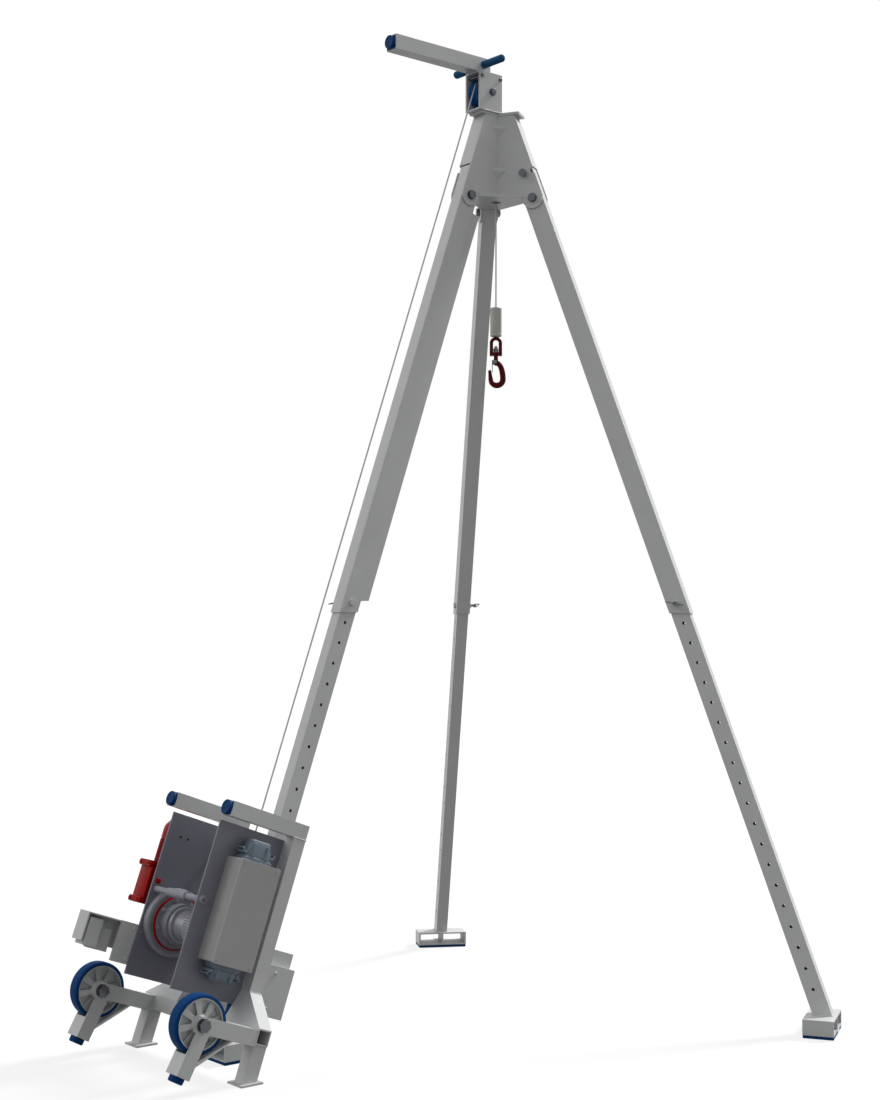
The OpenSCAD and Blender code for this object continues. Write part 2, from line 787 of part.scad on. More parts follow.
// steel tongue that closes the hook's throat against the inside of its tip
module hook_latch() {
    color(steel)
    hook_frame() translate([latch_x, 0, latch_z]) rotate([0, latch_lean, 0]) difference() {
        union() {
            translate([-10.5, -13, -latch_reach]) cube([2.5, 26, latch_reach + 5]);
            for (y = [-13, 11]) translate([-10.5, y, -6]) cube([15, 2, 11]);
        }
        rotate([90, 0, 0]) cylinder(r = 2 + run, h = 40, center = true);
        for (y = [-14, 7]) translate([-11, y, -latch_reach - 1]) cube([4, 7, latch_reach - 12]);
    }
}

module latch_pin() {
    color(steel)
    hook_frame() translate([latch_x, 0, latch_z]) rotate([90, 0, 0]) cylinder(r = 2, h = 29, center = true);
}

// Winch frame

module winch_frame() {
    s = tube_s;
    arm_low = frame_top - s;
    low_rail = 200;
    high_rail = 496;
    color(painted)
    leg_frame(winch_az) {
        for (side = [-1, 1]) {
            u = side * upright_u - s / 2;
            tube_z([upright_n, u, upright_low], [upright_n + s, u + s, arm_low], tube_wall);
            difference() {
                block([upright_n, u, arm_low], [frame_arm_n, u + s, frame_top]);
                block([upright_n + tube_wall, u + tube_wall, arm_low + tube_wall],
                    [frame_arm_n + 1, u + s - tube_wall, frame_top - tube_wall]);
            }
        }
        for (w = [low_rail, high_rail]) difference() {
            block([lower_d / 2, -side_u - side_t, w], [upright_n + s, side_u + side_t, w + s]);
            block([lower_d / 2 + tube_wall, -upright_u, w + tube_wall],
                [upright_n + s - tube_wall, upright_u, w + s - tube_wall]);
            for (side = [-1, 1])
                block([side_back - clear, side > 0 ? side_u - clear : -side_u - side_t - 1, w - 1],
                    [upright_n + s + 1, side > 0 ? side_u + side_t + 1 : -side_u + clear, w + s + 1]);
        }
    }
}

module frame_caps() {
    inner = tube_s - 2 * tube_wall - 2 * clear;
    color(blue_rubber)
    leg_frame(winch_az) for (side = [-1, 1]) {
        translate([frame_arm_n, side * upright_u, frame_top - tube_s / 2]) rotate([0, 90, 0])
            cylinder(d = frame_cap_d, h = cap_l);
        translate([frame_arm_n - 22, side * upright_u - inner / 2, frame_top - tube_s / 2 - inner / 2])
            cube([22 + eps, inner, inner]);
    }
}

// down the middle of a brace, from the wheel axle to its rubber foot
module brace_frame() {
    translate([wheel_n - 8, 0, wheel_up - 10]) rotate([0, 180 - brace_tilt, 0]) children();
}

// axle frame below the winch: cross tube, flared corner boxes, forks, stands
module fork(side) {
    u0 = side * wheel_u - fork_w / 2;
    u1 = u0 + fork_w;
    half = tube_s / 2 + 1;
    difference() {
        union() {
            difference() {
                block([cross_n + tube_s, u0, wheel_up - half], [wheel_n + 20, u1, wheel_up + half]);
                block([cross_n + tube_s + fork_t, u0 + fork_t, wheel_up - half + fork_t],
                    [wheel_n + 21, u1 - fork_t, wheel_up + half - fork_t]);
            }
            difference() {
                brace_frame() translate([-tube_s / 2, u0, 0]) cube([tube_s, fork_w, brace_l]);
                brace_frame() translate([-tube_s / 2 + fork_t, u0 + fork_t, -1])
                    cube([tube_s - 2 * fork_t, fork_w - 2 * fork_t, brace_l - fork_t + 1]);
            }
            // guard plate under the wheel
            translate([wheel_n - 11, u0, wheel_up - 104]) rotate([0, -47.5, 0]) cube([4, fork_w, 126]);
        }
        cross_rod(wheel_n, wheel_up, wheel_r + 5, u0 + fork_t, u1 - fork_t, 96);
        cross_rod(wheel_n, wheel_up, wheel_axle_d / 2, u0 - 1, u1 + 1);
    }
}

module wheel_frame() {
    end = wheel_u + fork_w / 2;
    s = tube_s;
    color(painted)
    difference() {
        leg_frame(winch_az) {
            difference() {
                block([cross_n, -end, cross_top - s], [cross_n + s, end, cross_top]);
                block([cross_n + tube_wall, -end - 1, cross_top - s + tube_wall],
                    [cross_n + s - tube_wall, end + 1, cross_top - tube_wall]);
            }
            for (side = [-1, 1]) {
                hull() {
                    translate([upright_n, side * upright_u - s / 2, upright_low - 1]) cube([s, s, 1]);
                    translate([cross_n, side > 0 ? upright_u - s / 2 : -end, cross_top])
                        cube([s, end - upright_u + s / 2, 1]);
                }
                fork(side);
                translate([cross_n, side * (end - s / 2 - 3) - s / 2, -80]) tube_z([0, 0, 0], [s, s, 80 + cross_top - s], tube_wall);
            }
        }
        below(5);
    }
    color(painted)
    for (side = [-1, 1]) rotate([0, 0, winch_az])
        translate([stand_r - 33, side * (end - s / 2 - 3) - 33, 0]) cube([66, 66, 5]);
}
// radius where the middle of a stand meets its plate
stand_r = foot_r + (cross_n + tube_s / 2) / cos(leg_tilt) - 2.5 * tan(leg_tilt);

module frame_buffers() {
    color(blue_rubber)
    leg_frame(winch_az) {
        for (side = [-1, 1]) brace_frame() translate([0, side * wheel_u, brace_l]) cylinder(d = 40, h = 16);
        translate([cross_n + tube_s / 2, side_u - 8, cross_top]) cylinder(d = 24, h = side_low - cross_top);
    }
}

module axle_bolts() {
    color(steel)
    leg_frame(winch_az) for (side = [-1, 1]) {
        u0 = side * wheel_u - fork_w / 2;
        u1 = u0 + fork_w;
        cross_rod(wheel_n, wheel_up, wheel_axle_d / 2, u0 - 14, u1);
        hex_head(wheel_n, wheel_up, u1, 30, 13);
        hex_head(wheel_n, wheel_up, u0 - 14, 30, 13);
    }
}

module wheel_rim(side) {
    rim_r = wheel_r - tyre_t;
    gap_low = hub_r + 3;
    gap_high = rim_r - 8;
    color(alloy)
    leg_frame(winch_az) translate([wheel_n, side * wheel_u, wheel_up]) rotate([-90, 0, 0]) difference() {
        union() {
            rotate_extrude($fn = 96) polygon([
                [wheel_axle_d / 2 + run, -hub_l / 2],
                [hub_r - 6, -hub_l / 2],
                [hub_r, -wheel_w / 2 + 4],
                [rim_r - 6, -wheel_w / 2 + 10],
                [rim_r - 4, -wheel_w / 2 + 2],
                [rim_r, -wheel_w / 2 + 2],
                [rim_r, wheel_w / 2 - 2],
                [rim_r - 4, wheel_w / 2 - 2],
                [rim_r - 6, wheel_w / 2 - 10],
                [hub_r, wheel_w / 2 - 4],
                [hub_r - 6, hub_l / 2],
                [wheel_axle_d / 2 + run, hub_l / 2]
            ]);
        }
        // pockets between eight wide vanes, either side of a thin web
        for (face = [-1, 1], a = [0:45:315]) rotate([0, 0, a]) translate([0, 0, face > 0 ? 2 : -22])
            linear_extrude(20) polygon([
                [gap_low, -4], [gap_high * cos(13), -gap_high * sin(13)], [gap_high, 0],
                [gap_high * cos(13), gap_high * sin(13)], [gap_low, 4]
            ]);
    }
}

module wheel_tyre(side) {
    color(blue_rubber)
    leg_frame(winch_az) translate([wheel_n, side * wheel_u, wheel_up]) rotate([-90, 0, 0])
        rotate_extrude($fn = 96) polygon([
            [wheel_r - tyre_t, -wheel_w / 2 + 2],
            [wheel_r - tyre_t, -wheel_w / 2],
            [wheel_r - 3, -wheel_w / 2],
            [wheel_r, -wheel_w / 2 + 5],
            [wheel_r, wheel_w / 2 - 5],
            [wheel_r - 3, wheel_w / 2],
            [wheel_r - tyre_t, wheel_w / 2]
        ]);
}

// Winch cassette

module side_plates() {
    color(dark_plate)
    leg_frame(winch_az) difference() {
        for (side = [-1, 1])
            translate([0, side > 0 ? side_u : -side_u - side_t, 0])
                block([side_back, 0, side_low], [side_front, side_t, side_high]);
        cross_rod(drum_n, drum_w, shaft_d / 2 + run, side_u - 1, side_u + side_t + 1);
        cross_rod(drum_n, drum_w, 50, -side_u - side_t - 1, -side_u + 1);
        cross_rod(roller_n, roller_w, roller_axle_d / 2, -side_u - side_t - 1, side_u + side_t + 1);
        cross_rod(drum_n + 82, drum_w + 73, 6, -side_u - side_t - 1, side_u + side_t + 1);
        for (w = [side_low + 18, side_high - 9])
            cross_rod(side_back + 17, w, 4, -side_u - side_t - 1, side_u + side_t + 1, 24);
        cross_rod(side_front - 15, drum_w + 95, 8, -side_u - side_t - 1, -side_u + 1);
        for (n = [210, 234]) cross_rod(n, side_high - 60, 2, -side_u - side_t - 1, -side_u + 1, 24);
    }
}

module gearbox() {
    far = -side_u - side_t;
    color(alloy)
    leg_frame(winch_az) difference() {
        union() {
            cross_rod(drum_n, drum_w, 49.8, far - 1, -side_u + 1, 96);
            cross_rod(drum_n, drum_w, gear_flange_r, -side_u, -side_u + gear_flange_l, 96);
            cross_rod(drum_n, drum_w, 70, -side_u + gear_flange_l, -side_u + gear_flange_l + 6, 96);
            cross_rod(drum_n, drum_w, 55, -side_u + gear_flange_l + 6, drum_low - 12 - clear, 96);
            block([drum_n - 70, far - 95, drum_w - 70], [drum_n + 30, far, drum_w + 84]);
        }
        cross_rod(drum_n, drum_w, shaft_d / 2 + run, far - 60, 0);
    }
}

module drive_motor() {
    far = -side_u - side_t;
    low = drum_w + 84;
    color(drive_red)
    leg_frame(winch_az) {
        translate([motor_n, far - 9 - motor_r, low]) cylinder(r = motor_r, h = motor_l - 24, $fn = 96);
        translate([motor_n, far - 9 - motor_r, low + motor_l - 24]) cylinder(r1 = motor_r, r2 = motor_r - 16, h = 24, $fn = 96);
        block([motor_n + motor_r - 18, far - 78, drum_w + 26], [motor_n + motor_r + 50, far - 16, drum_w + 144]);
    }
}

module drum() {
    color(alloy)
    leg_frame(winch_az) difference() {
        union() {
            cross_rod(drum_n, drum_w, shaft_d / 2, -side_u - side_t - 50, side_u + side_t - 0.5);
            cross_rod(drum_n, drum_w, barrel_r, drum_low, drum_high, 96);
            cross_rod(drum_n, drum_w, drum_flange_r - 3, drum_low - 12, drum_low, 96);
            cross_rod(drum_n, drum_w, drum_flange_r, drum_high, drum_high + 5, 96);
        }
        cross_rod(drum_n, drum_w, 5, side_u + side_t - 20, side_u + side_t, 24);
    }
}

// one layer of rope on the near half of the barrel, which leaves straight up to the guide roller
per_turn = 24;
function turn_point(i) =
    let (a = lead_angle + 360 * (1 - i / (drum_turns * per_turn)) * drum_turns)
    local_point(drum_n + wound_r * cos(a), turn_pitch * (drum_turns - i / per_turn), drum_w + wound_r * sin(a));
turn_points = [for (i = [0:drum_turns * per_turn]) turn_point(i)];
least_turn_gap = min([for (i = [0:len(turn_points) - 1], j = [0:i])
    if (i - j > per_turn / 2) norm(turn_points[i] - turn_points[j]) - rope_d]);
echo(least_turn_gap_mm = least_turn_gap);

module drum_rope() {
    last = turn_points[len(turn_points) - 1];
    color(rope_grey)
    swept(concat(turn_points, [last + rope_d * lead_up]), rope_d / 2, 6, [1, 0, 0]);
}

module guide_roller() {
    color(steel)
    leg_frame(winch_az) translate([roller_n, 0, roller_w]) rotate([-90, 0, 0]) rotate_extrude($fn = 64) polygon([
        [roller_axle_d / 2 + run, -18],
        [roller_r + 5, -18],
        [roller_r + 5, -15],
        [roller_r - rope_gap, -rope_d / 2 - 1],
        [roller_r - rope_gap, rope_d / 2 + 1],
        [roller_r + 5, 15],
        [roller_r + 5, 18],
        [roller_axle_d / 2 + run, 18]
    ]);
}

// bar across the front of the cassette, and the guide roller's axle
module spacer_bar() {
    n = drum_n + 82;
    w = drum_w + 73;
    color(steel)
    leg_frame(winch_az) {
        cross_rod(n, w, 6, -side_u - side_t, side_u + side_t + 8);
        difference() {
            union() {
                cross_rod(n, w, 8.5, -side_u, side_u);
                cross_rod(n, w, 12, -45, 45);
            }
            cross_rod(n, w, 6, -side_u - 1, side_u + 1);
        }
        cross_rod(roller_n, roller_w, roller_axle_d / 2, -side_u - side_t, side_u + side_t);
        for (side = [-1, 1]) difference() {
            cross_rod(roller_n, roller_w, roller_axle_d / 2 + 4, side > 0 ? 18 + clear : -side_u, side > 0 ? side_u : -18 - clear);
            cross_rod(roller_n, roller_w, roller_axle_d / 2, -side_u - 1, side_u + 1);
        }
    }
}

// Electrics and outer brackets

module rounded_block(a, b, r) {
    translate([a[0], a[1], a[2]]) rotate([90, 0, 0]) mirror([0, 0, 1])
        linear_extrude(b[1] - a[1]) translate([r, r]) offset(r = r, $fn = 32) square([b[0] - a[0] - 2 * r, b[2] - a[2] - 2 * r]);
}

module control_box() {
    out = side_u + side_t;
    color(painted)
    leg_frame(winch_az) {
        difference() {
            rounded_block([box_n, out, box_low], [box_n + box_w, out + box_d, box_low + box_h], 4);
            block([box_n + 4, out + 4, box_low + 4], [box_n + box_w - 4, out + box_d + 1, box_low + box_h - 4]);
        }
        rounded_block([box_n - 1, out + box_d, box_low - 1], [box_n + box_w + 1, out + box_d + lid_t, box_low + box_h + 1], 5);
    }
}

module connector_hoods() {
    out = side_u + side_t;
    color(connector_grey)
    leg_frame(winch_az) for (top = [0, 1])
        translate([box_n + box_w / 2, out + box_d / 2, top > 0 ? box_low + box_h : box_low])
            mirror([0, 0, 1 - top]) {
                translate([-46, -22, 0]) cube([92, 44, 14]);
                hull() {
                    translate([-38, -20, 14 - eps]) cube([76, 40, top > 0 ? 22 : 14]);
                    translate([-32, -15, top > 0 ? 56 : 42]) cube([64, 30, 4]);
                }
                for (side = [-1, 1])
                    translate([side * 42, 0, 20]) rotate([90, 0, 0]) cylinder(d = 8, h = 34, center = true, $fn = 32);
            }
}

module side_bracket() {
    out = -side_u - side_t;
    low = side_low + 54;
    high = side_low + 131;
    back = side_front + 22;
    front = side_front + 156;
    color(painted)
    leg_frame(winch_az) {
        block([side_front - 50, out - 8, side_low + 23], [side_front + 52, out, side_low + 132]);
        difference() {
            block([back, out - 50, low], [front, out, high]);
            block([back + 4, out - 46, low - 1], [front - 4, out + 1, high - 4]);
        }
        translate([0, 0, low - 10]) linear_extrude(high - low - 2) polygon([
            [front - 66, out - 48], [front - 12, out - 48], [front - 12, out - 6], [front - 52, out - 6], [front - 66, out - 20]
        ]);
        block([back + 30, out - 48, low - 14], [front - 40, out - 34, high - 30]);
    }
}

// clamp housing that holds the winch to the back of the leg
module leg_clamp() {
    back = -lower_d / 2;
    color(painted)
    leg_frame(winch_az) {
        difference() {
            block([back - 121, -45, 139], [back, 45, 277]);
            block([back - 116, -40, 138], [back - 5, 40, 272]);
        }
        block([back - 112, -30, 277], [back - 46, 30, 318]);
    }
}

top_plate();
bottom_plate();
channel_plates();
corner_gussets();
stop_pins();
pivot_bolts();
pulley_housing();
pulley_axle();
guard_bolts();
head_arm();
arm_cap();
cross_bar();
bar_grips();
pulley_wheel();
rope_over_pulley();
rope_fall();
head_lock(winch_az);  // winch_leg_head_lock
head_lock(right_az);  // right_leg_head_lock
head_lock(rear_az);  // rear_leg_head_lock
upper_leg(winch_az);  // winch_leg_upper
upper_leg(right_az);  // right_leg_upper
upper_leg(rear_az);  // rear_leg_upper
stiffener_rail();
rope_run();
leg_plunger(winch_az);  // winch_leg_plunger
leg_plunger(right_az);  // right_leg_plunger
leg_plunger(rear_az);  // rear_leg_plunger
lower_leg(winch_az);  // winch_leg_lower
lower_leg(right_az);  // right_leg_lower
lower_leg(rear_az);  // rear_leg_lower
foot_pad(winch_az);  // winch_leg_pad
foot_pad(right_az);  // right_leg_pad
foot_pad(rear_az);  // rear_leg_pad
sleeve_weight();
hook_bow();
swivel_nut();
hook();
hook_latch();
latch_pin();
winch_frame();
frame_caps();
wheel_frame();
frame_buffers();
axle_bolts();
wheel_rim(1);  // near_wheel_rim
wheel_tyre(1);  // near_wheel_tyre
wheel_rim(-1);  // far_wheel_rim
wheel_tyre(-1);  // far_wheel_tyre
side_plates();
gearbox();
drive_motor();
drum();
drum_rope();
rope_lead();
guide_roller();
spacer_bar();
control_box();
connector_hoods();
side_bracket();
leg_clamp();
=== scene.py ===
import math

import bmesh
import bpy
from mathutils import Matrix, Vector


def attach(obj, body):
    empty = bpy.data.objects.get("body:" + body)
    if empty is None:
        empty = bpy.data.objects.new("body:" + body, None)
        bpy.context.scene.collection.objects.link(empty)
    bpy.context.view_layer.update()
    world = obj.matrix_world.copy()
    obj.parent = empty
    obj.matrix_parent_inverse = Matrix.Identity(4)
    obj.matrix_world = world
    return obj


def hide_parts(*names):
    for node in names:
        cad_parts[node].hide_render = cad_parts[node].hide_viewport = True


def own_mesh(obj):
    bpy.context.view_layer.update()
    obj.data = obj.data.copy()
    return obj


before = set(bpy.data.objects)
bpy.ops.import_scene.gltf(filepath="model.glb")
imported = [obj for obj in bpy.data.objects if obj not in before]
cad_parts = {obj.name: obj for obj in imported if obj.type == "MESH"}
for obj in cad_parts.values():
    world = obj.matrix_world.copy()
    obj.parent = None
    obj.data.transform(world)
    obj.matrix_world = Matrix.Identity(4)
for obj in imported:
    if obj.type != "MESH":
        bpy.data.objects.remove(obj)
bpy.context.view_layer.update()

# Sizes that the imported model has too, in millimetres and degrees. In a leg's own frame n points out
# square to the leg, u runs along the ground and w up the leg. The winch is measured in the winch leg's frame.
MM = 0.001
# lean of the legs, distance of the feet from the load line, and where each leg points
LEG_TILT = 19.56
FOOT_R = 1013.864
WINCH, RIGHT, REAR = 270, 30, 150
LEGS = {"winch_leg": WINCH, "right_leg": RIGHT, "rear_leg": REAR}
# leg tubes, the leg plunger and its guide, and what stands above the pivot bolt
UPPER_N, UPPER_U, LOWER_N, LOWER_U = 60, 46, 52.4, 38.4
PLUNGER_UP, GUIDE_D, LEG_HEAD, LOCK_UP = 1311, 17, 66, 82
# pivot bolts, and the channel plates that hold the legs
PIVOT_UP, PIVOT_R, PIVOT_Z, PIVOT_HEAD, PIVOT_HEAD_H = 2646, 128, 2493.303, 24, 10
PLATE_U, CHANNEL_N = 28, 33
# heights of the head's plates, then the pulley and its housing
TOP_Z, DECK_Z, BOTTOM_Z, BOTTOM_T = 2760.303, 2768.303, 2494.803, 8
PULLEY_R, PULLEY_Z = 45.5, 2828.803
HOUSE_W, HOUSE_BACK, HOUSE_FRONT, HOUSE_H = 67, 5, 98, 121
# square arm on the head and its cross bar
ARM_Z, ARM_S, ARM_BACK, ARM_FRONT, CAP_L = 2889.303, 45, 44, 419, 11
BAR_N, BAR_L, GRIP_R = 72, 228, 12
# rope, how far it is hoisted and how far the winch leg slides in
ROPE_D, ROPE_N, ROPE_TOP_W, ROPE_GAP = 5, 80.084, 2989.845, 0.2
# drum, its winding and the guide roller
DRUM_N, DRUM_W, DRUM_LOW, DRUM_HIGH, FLANGE_R = 180, 314, -48, 55, 52
WOUND_R, DRUM_TURNS, TURN_PITCH = 42.2, 8, 5.6
ROLLER_N, ROLLER_W, ROLLER_R = 104.584, 545, 22
RUN_START = ROLLER_W + 2
# side plates, gear flange, motor and control cabinet
SIDE_U, SIDE_T, SIDE_FRONT, SIDE_BACK, SIDE_LOW, SIDE_HIGH = 116, 5, 278, 38, 152, 599
SIDE_OUT = SIDE_U + SIDE_T
GEAR_FLANGE_L = 21
MOTOR_N, MOTOR_R, MOTOR_L = 180, 60, 190
BOX_N, BOX_W, BOX_LOW, BOX_H, BOX_D, LID_T = 100, 125, 242, 274, 62, 14
# wheels, their forks and the braces with the buffers
WHEEL_N, WHEEL_UP, WHEEL_U, WHEEL_R, WHEEL_W, TYRE_T = 260, 90, 259, 75, 38, 9
FORK_W, FORK_T, BRACE_TILT, BRACE_L = 54, 4, 9.4, 126
# square tubes of the winch's frame
TUBE_S, UPRIGHT_U, UPRIGHT_N, UPRIGHT_LOW, FRAME_TOP, FRAME_ARM_N = 40, 141, 23, 195, 653, 279
CROSS_N, CROSS_TOP, FRAME_RAILS = 50, 115, (200, 496)
# sleeve and hook
SLEEVE_TOP, SLEEVE_L, SLEEVE_D = 2162, 91, 36
HOOK_PLANE, HOOK_D, HOOK_MID, BOWL_X, THROAT_H, TIP_LEAN, TIP_L = 48.4, 18, 19, 3, 51, 7, 32
SHOULDER_D, BOWL_END_D, TIP_D = 16, 15, 9
# feet
FOOT_W, FOOT_L, FOOT_H, PAD_H = 171, 88, 44, 8.6


# Places


def leg_frame(azimuth):
    """Millimetres outward, sideways and up a leg, to metres in the model's frame."""
    return (
        Matrix.Rotation(math.radians(azimuth), 4, "Z")
        @ Matrix.Translation((FOOT_R * MM, 0, 0))
        @ Matrix.Rotation(-math.radians(LEG_TILT), 4, "Y")
        @ Matrix.Scale(MM, 4)
    )


def upright_frame(azimuth):
    """Millimetres in a frame turned about the load line, to metres in the model's frame."""
    return Matrix.Rotation(math.radians(azimuth), 4, "Z") @ Matrix.Scale(MM, 4)


WINCH_LEG = leg_frame(WINCH)
HEAD = upright_frame(WINCH)
HOOK_FRAME = upright_frame(HOOK_PLANE)


def pointing(where, axis):
    """A place whose z runs along axis, at a point in millimetres."""
    turn = Vector((0, 0, 1)).rotation_difference(Vector(axis)).to_matrix().to_4x4()
    return Matrix.Translation(where) @ turn


# Shapes: each gives points and faces, in millimetres


def circle(radius, sides):
    """The corners of a regular outline."""
    return [
        (radius * math.cos(2 * math.pi * k / sides), radius * math.sin(2 * math.pi * k / sides))
        for k in range(sides)
    ]


def between_rows(rows, sides, closed=False):
    """The faces between rows of points, and the two end faces unless the rows close on themselves."""
    faces = []
    for i in range(rows if closed else rows - 1):
        low, high = i * sides, (i + 1) % rows * sides
        for k in range(sides):
            faces.append((low + k, low + (k + 1) % sides, high + (k + 1) % sides, high + k))
    if not closed:
        faces.append(tuple(range(sides))[::-1])
        faces.append(tuple((rows - 1) * sides + k for k in range(sides)))
    return faces


def turned(profile, sides, ring=False):
    """A profile of radius and height turned round z.

    A ring's profile closes on itself. Another is closed by a flat face at each end.
    """
    points = [(x, y, height) for radius, height in profile for x, y in circle(radius, sides)]
    return points, between_rows(len(profile), sides, ring)


def rounded(corners, radius, steps=4):
    """A profile with its inner corners rounded."""
    out = [corners[0]]
    for before, corner, after in zip(corners, corners[1:], corners[2:]):
        a, b, c = Vector(before), Vector(corner), Vector(after)
        # so that two neighbouring corners never meet
        reach = min(radius, (a - b).length * 0.45, (c - b).length * 0.45)
        start = b + (a - b).normalized() * reach
        end = b + (c - b).normalized() * reach
        for i in range(steps + 1):
            t = i / steps
            out.append(tuple(start * (1 - t) ** 2 + b * 2 * t * (1 - t) + end * t * t))
    out.append(corners[-1])
    return out


def layered(outlines):
    """Closed outlines of equal count joined one above the other: a list of (height, outline)."""
    points = [(x, y, height) for height, outline in outlines for x, y in outline]
    return points, between_rows(len(outlines), len(outlines[0][1]))


def rectangle(width, depth, radius):
    """The outline of a rectangle with round corners about the middle."""
    steps = 5
    out = []
    for quarter, (sx, sy) in enumerate(((1, 1), (-1, 1), (-1, -1), (1, -1))):
        for i in range(steps + 1):
            a = math.pi / 2 * (quarter + i / steps)
            x = sx * (width / 2 - radius) + radius * math.cos(a)
            y = sy * (depth / 2 - radius) + radius * math.sin(a)
            out.append((x, y))
    return out


def star(radius, depth, count, share):
    """The outline of a finned casting: each fin takes a share of its pitch and has sloping flanks."""
    flank = 0.08
    corners = ((0, radius), (share, radius), (share + flank, radius - depth), (1 - flank, radius - depth))
    out = []
    for k in range(count):
        for part, r in corners:
            a = 2 * math.pi * (k + part) / count
            out.append((r * math.cos(a), r * math.sin(a)))
    return out


def swept(path, section, sides, turn=None):
    """A tube along a path. section(i, k) gives the radius and turn(i) the ring's turn."""
    points = []
    path = [Vector(p) for p in path]
    across = None
    for i, here in enumerate(path):
        ahead = path[min(i + 1, len(path) - 1)] - path[max(i - 1, 0)]
        ahead.normalize()
        if across is None:
            across = ahead.orthogonal().normalized()
        across = (across - ahead * across.dot(ahead)).normalized()
        other = ahead.cross(across)
        for k in range(sides):
            a = 2 * math.pi * k / sides + (turn(i) if turn else 0)
            points.append(tuple(here + section(i, k) * (math.cos(a) * across + math.sin(a) * other)))
    return points, between_rows(len(path), sides)


def evenly(path, step):
    """Points about a step apart along a path of straight stretches."""
    path = [Vector(p) for p in path]
    out = [path[0]]
    for a, b in zip(path, path[1:]):
        count = max(1, round((b - a).length / step))
        out += [a.lerp(b, i / count) for i in range(1, count + 1)]
    return out


class Form:
    """Shapes gathered into one piece, each at its own place."""

    def __init__(self, place):
        self.place = place
        self.points, self.faces = [], []

    def add(self, shape, local=Matrix.Identity(4)):
        points, faces = shape
        start = len(self.points)
        matrix = self.place @ local
        self.points += [matrix @ Vector(p) for p in points]
        self.faces += [[start + i for i in face] for face in faces]
        return self


def piece(name, form, finish, body, replaces=(), edge=0.0, smooth=35):
    """One named piece from a form, with edges of a rounded width in millimetres."""
    mesh = bpy.data.meshes.new(name)
    mesh.from_pydata(form.points, [], form.faces)
    work = bmesh.new()
    work.from_mesh(mesh)
    bmesh.ops.recalc_face_normals(work, faces=work.faces)
    work.to_mesh(mesh)
    work.free()
    mesh.polygons.foreach_set("use_smooth", [True] * len(mesh.polygons))
    mesh.set_sharp_from_angle(angle=math.radians(smooth))
    mesh.materials.append(finish)
    thing = bpy.data.objects.new(name, mesh)
    bpy.context.scene.collection.objects.link(thing)
    if edge:
        bevel = thing.modifiers.new("rounded_edges", "BEVEL")
        bevel.width = edge * MM
        bevel.segments = 2
        bevel.limit_method = "ANGLE"
        bevel.angle_limit = math.radians(40)
        bevel.harden_normals = True
    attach(thing, body)
    if replaces:
        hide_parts(*replaces)
    return thing


# Finishes


def linear(hex_colour):
    """An sRGB hex colour as the linear values that Blender takes."""
    out = []
    for i in (1, 3, 5):
        c = int(hex_colour[i:i + 2], 16) / 255
        out.append(c / 12.92 if c <= 0.04045 else ((c + 0.055) / 1.055) ** 2.4)
    return (*out, 1.0)


def add_node(tree, kind, settings=None, links=None):
    """Adds one node, sets its sockets and options by name, and links sockets into it."""
    node = tree.nodes.new(kind)
    for name, value in (settings or {}).items():
        if isinstance(name, int) or name in node.inputs:
            node.inputs[name].default_value = value
        else:
            setattr(node, name, value)
    for name, source in (links or {}).items():
        tree.links.new(source, node.inputs[name])
    return node


def mapped(tree, value, span, result):
    """A value's span stretched to another span."""
    settings = {"From Min": span[0], "From Max": span[1], "To Min": result[0], "To Max": result[1]}
    return add_node(tree, "ShaderNodeMapRange", settings, {"Value": value}).outputs["Result"]


# A Mix node has sockets of one name for each kind of value, so its colours go by number
MIX_A, MIX_B, MIX_RESULT = 6, 7, 2
# spacing of the slow change of tone, and the part of the noise that it uses
TONE_MM = 120
TONE_SPAN = (0.3, 0.7)


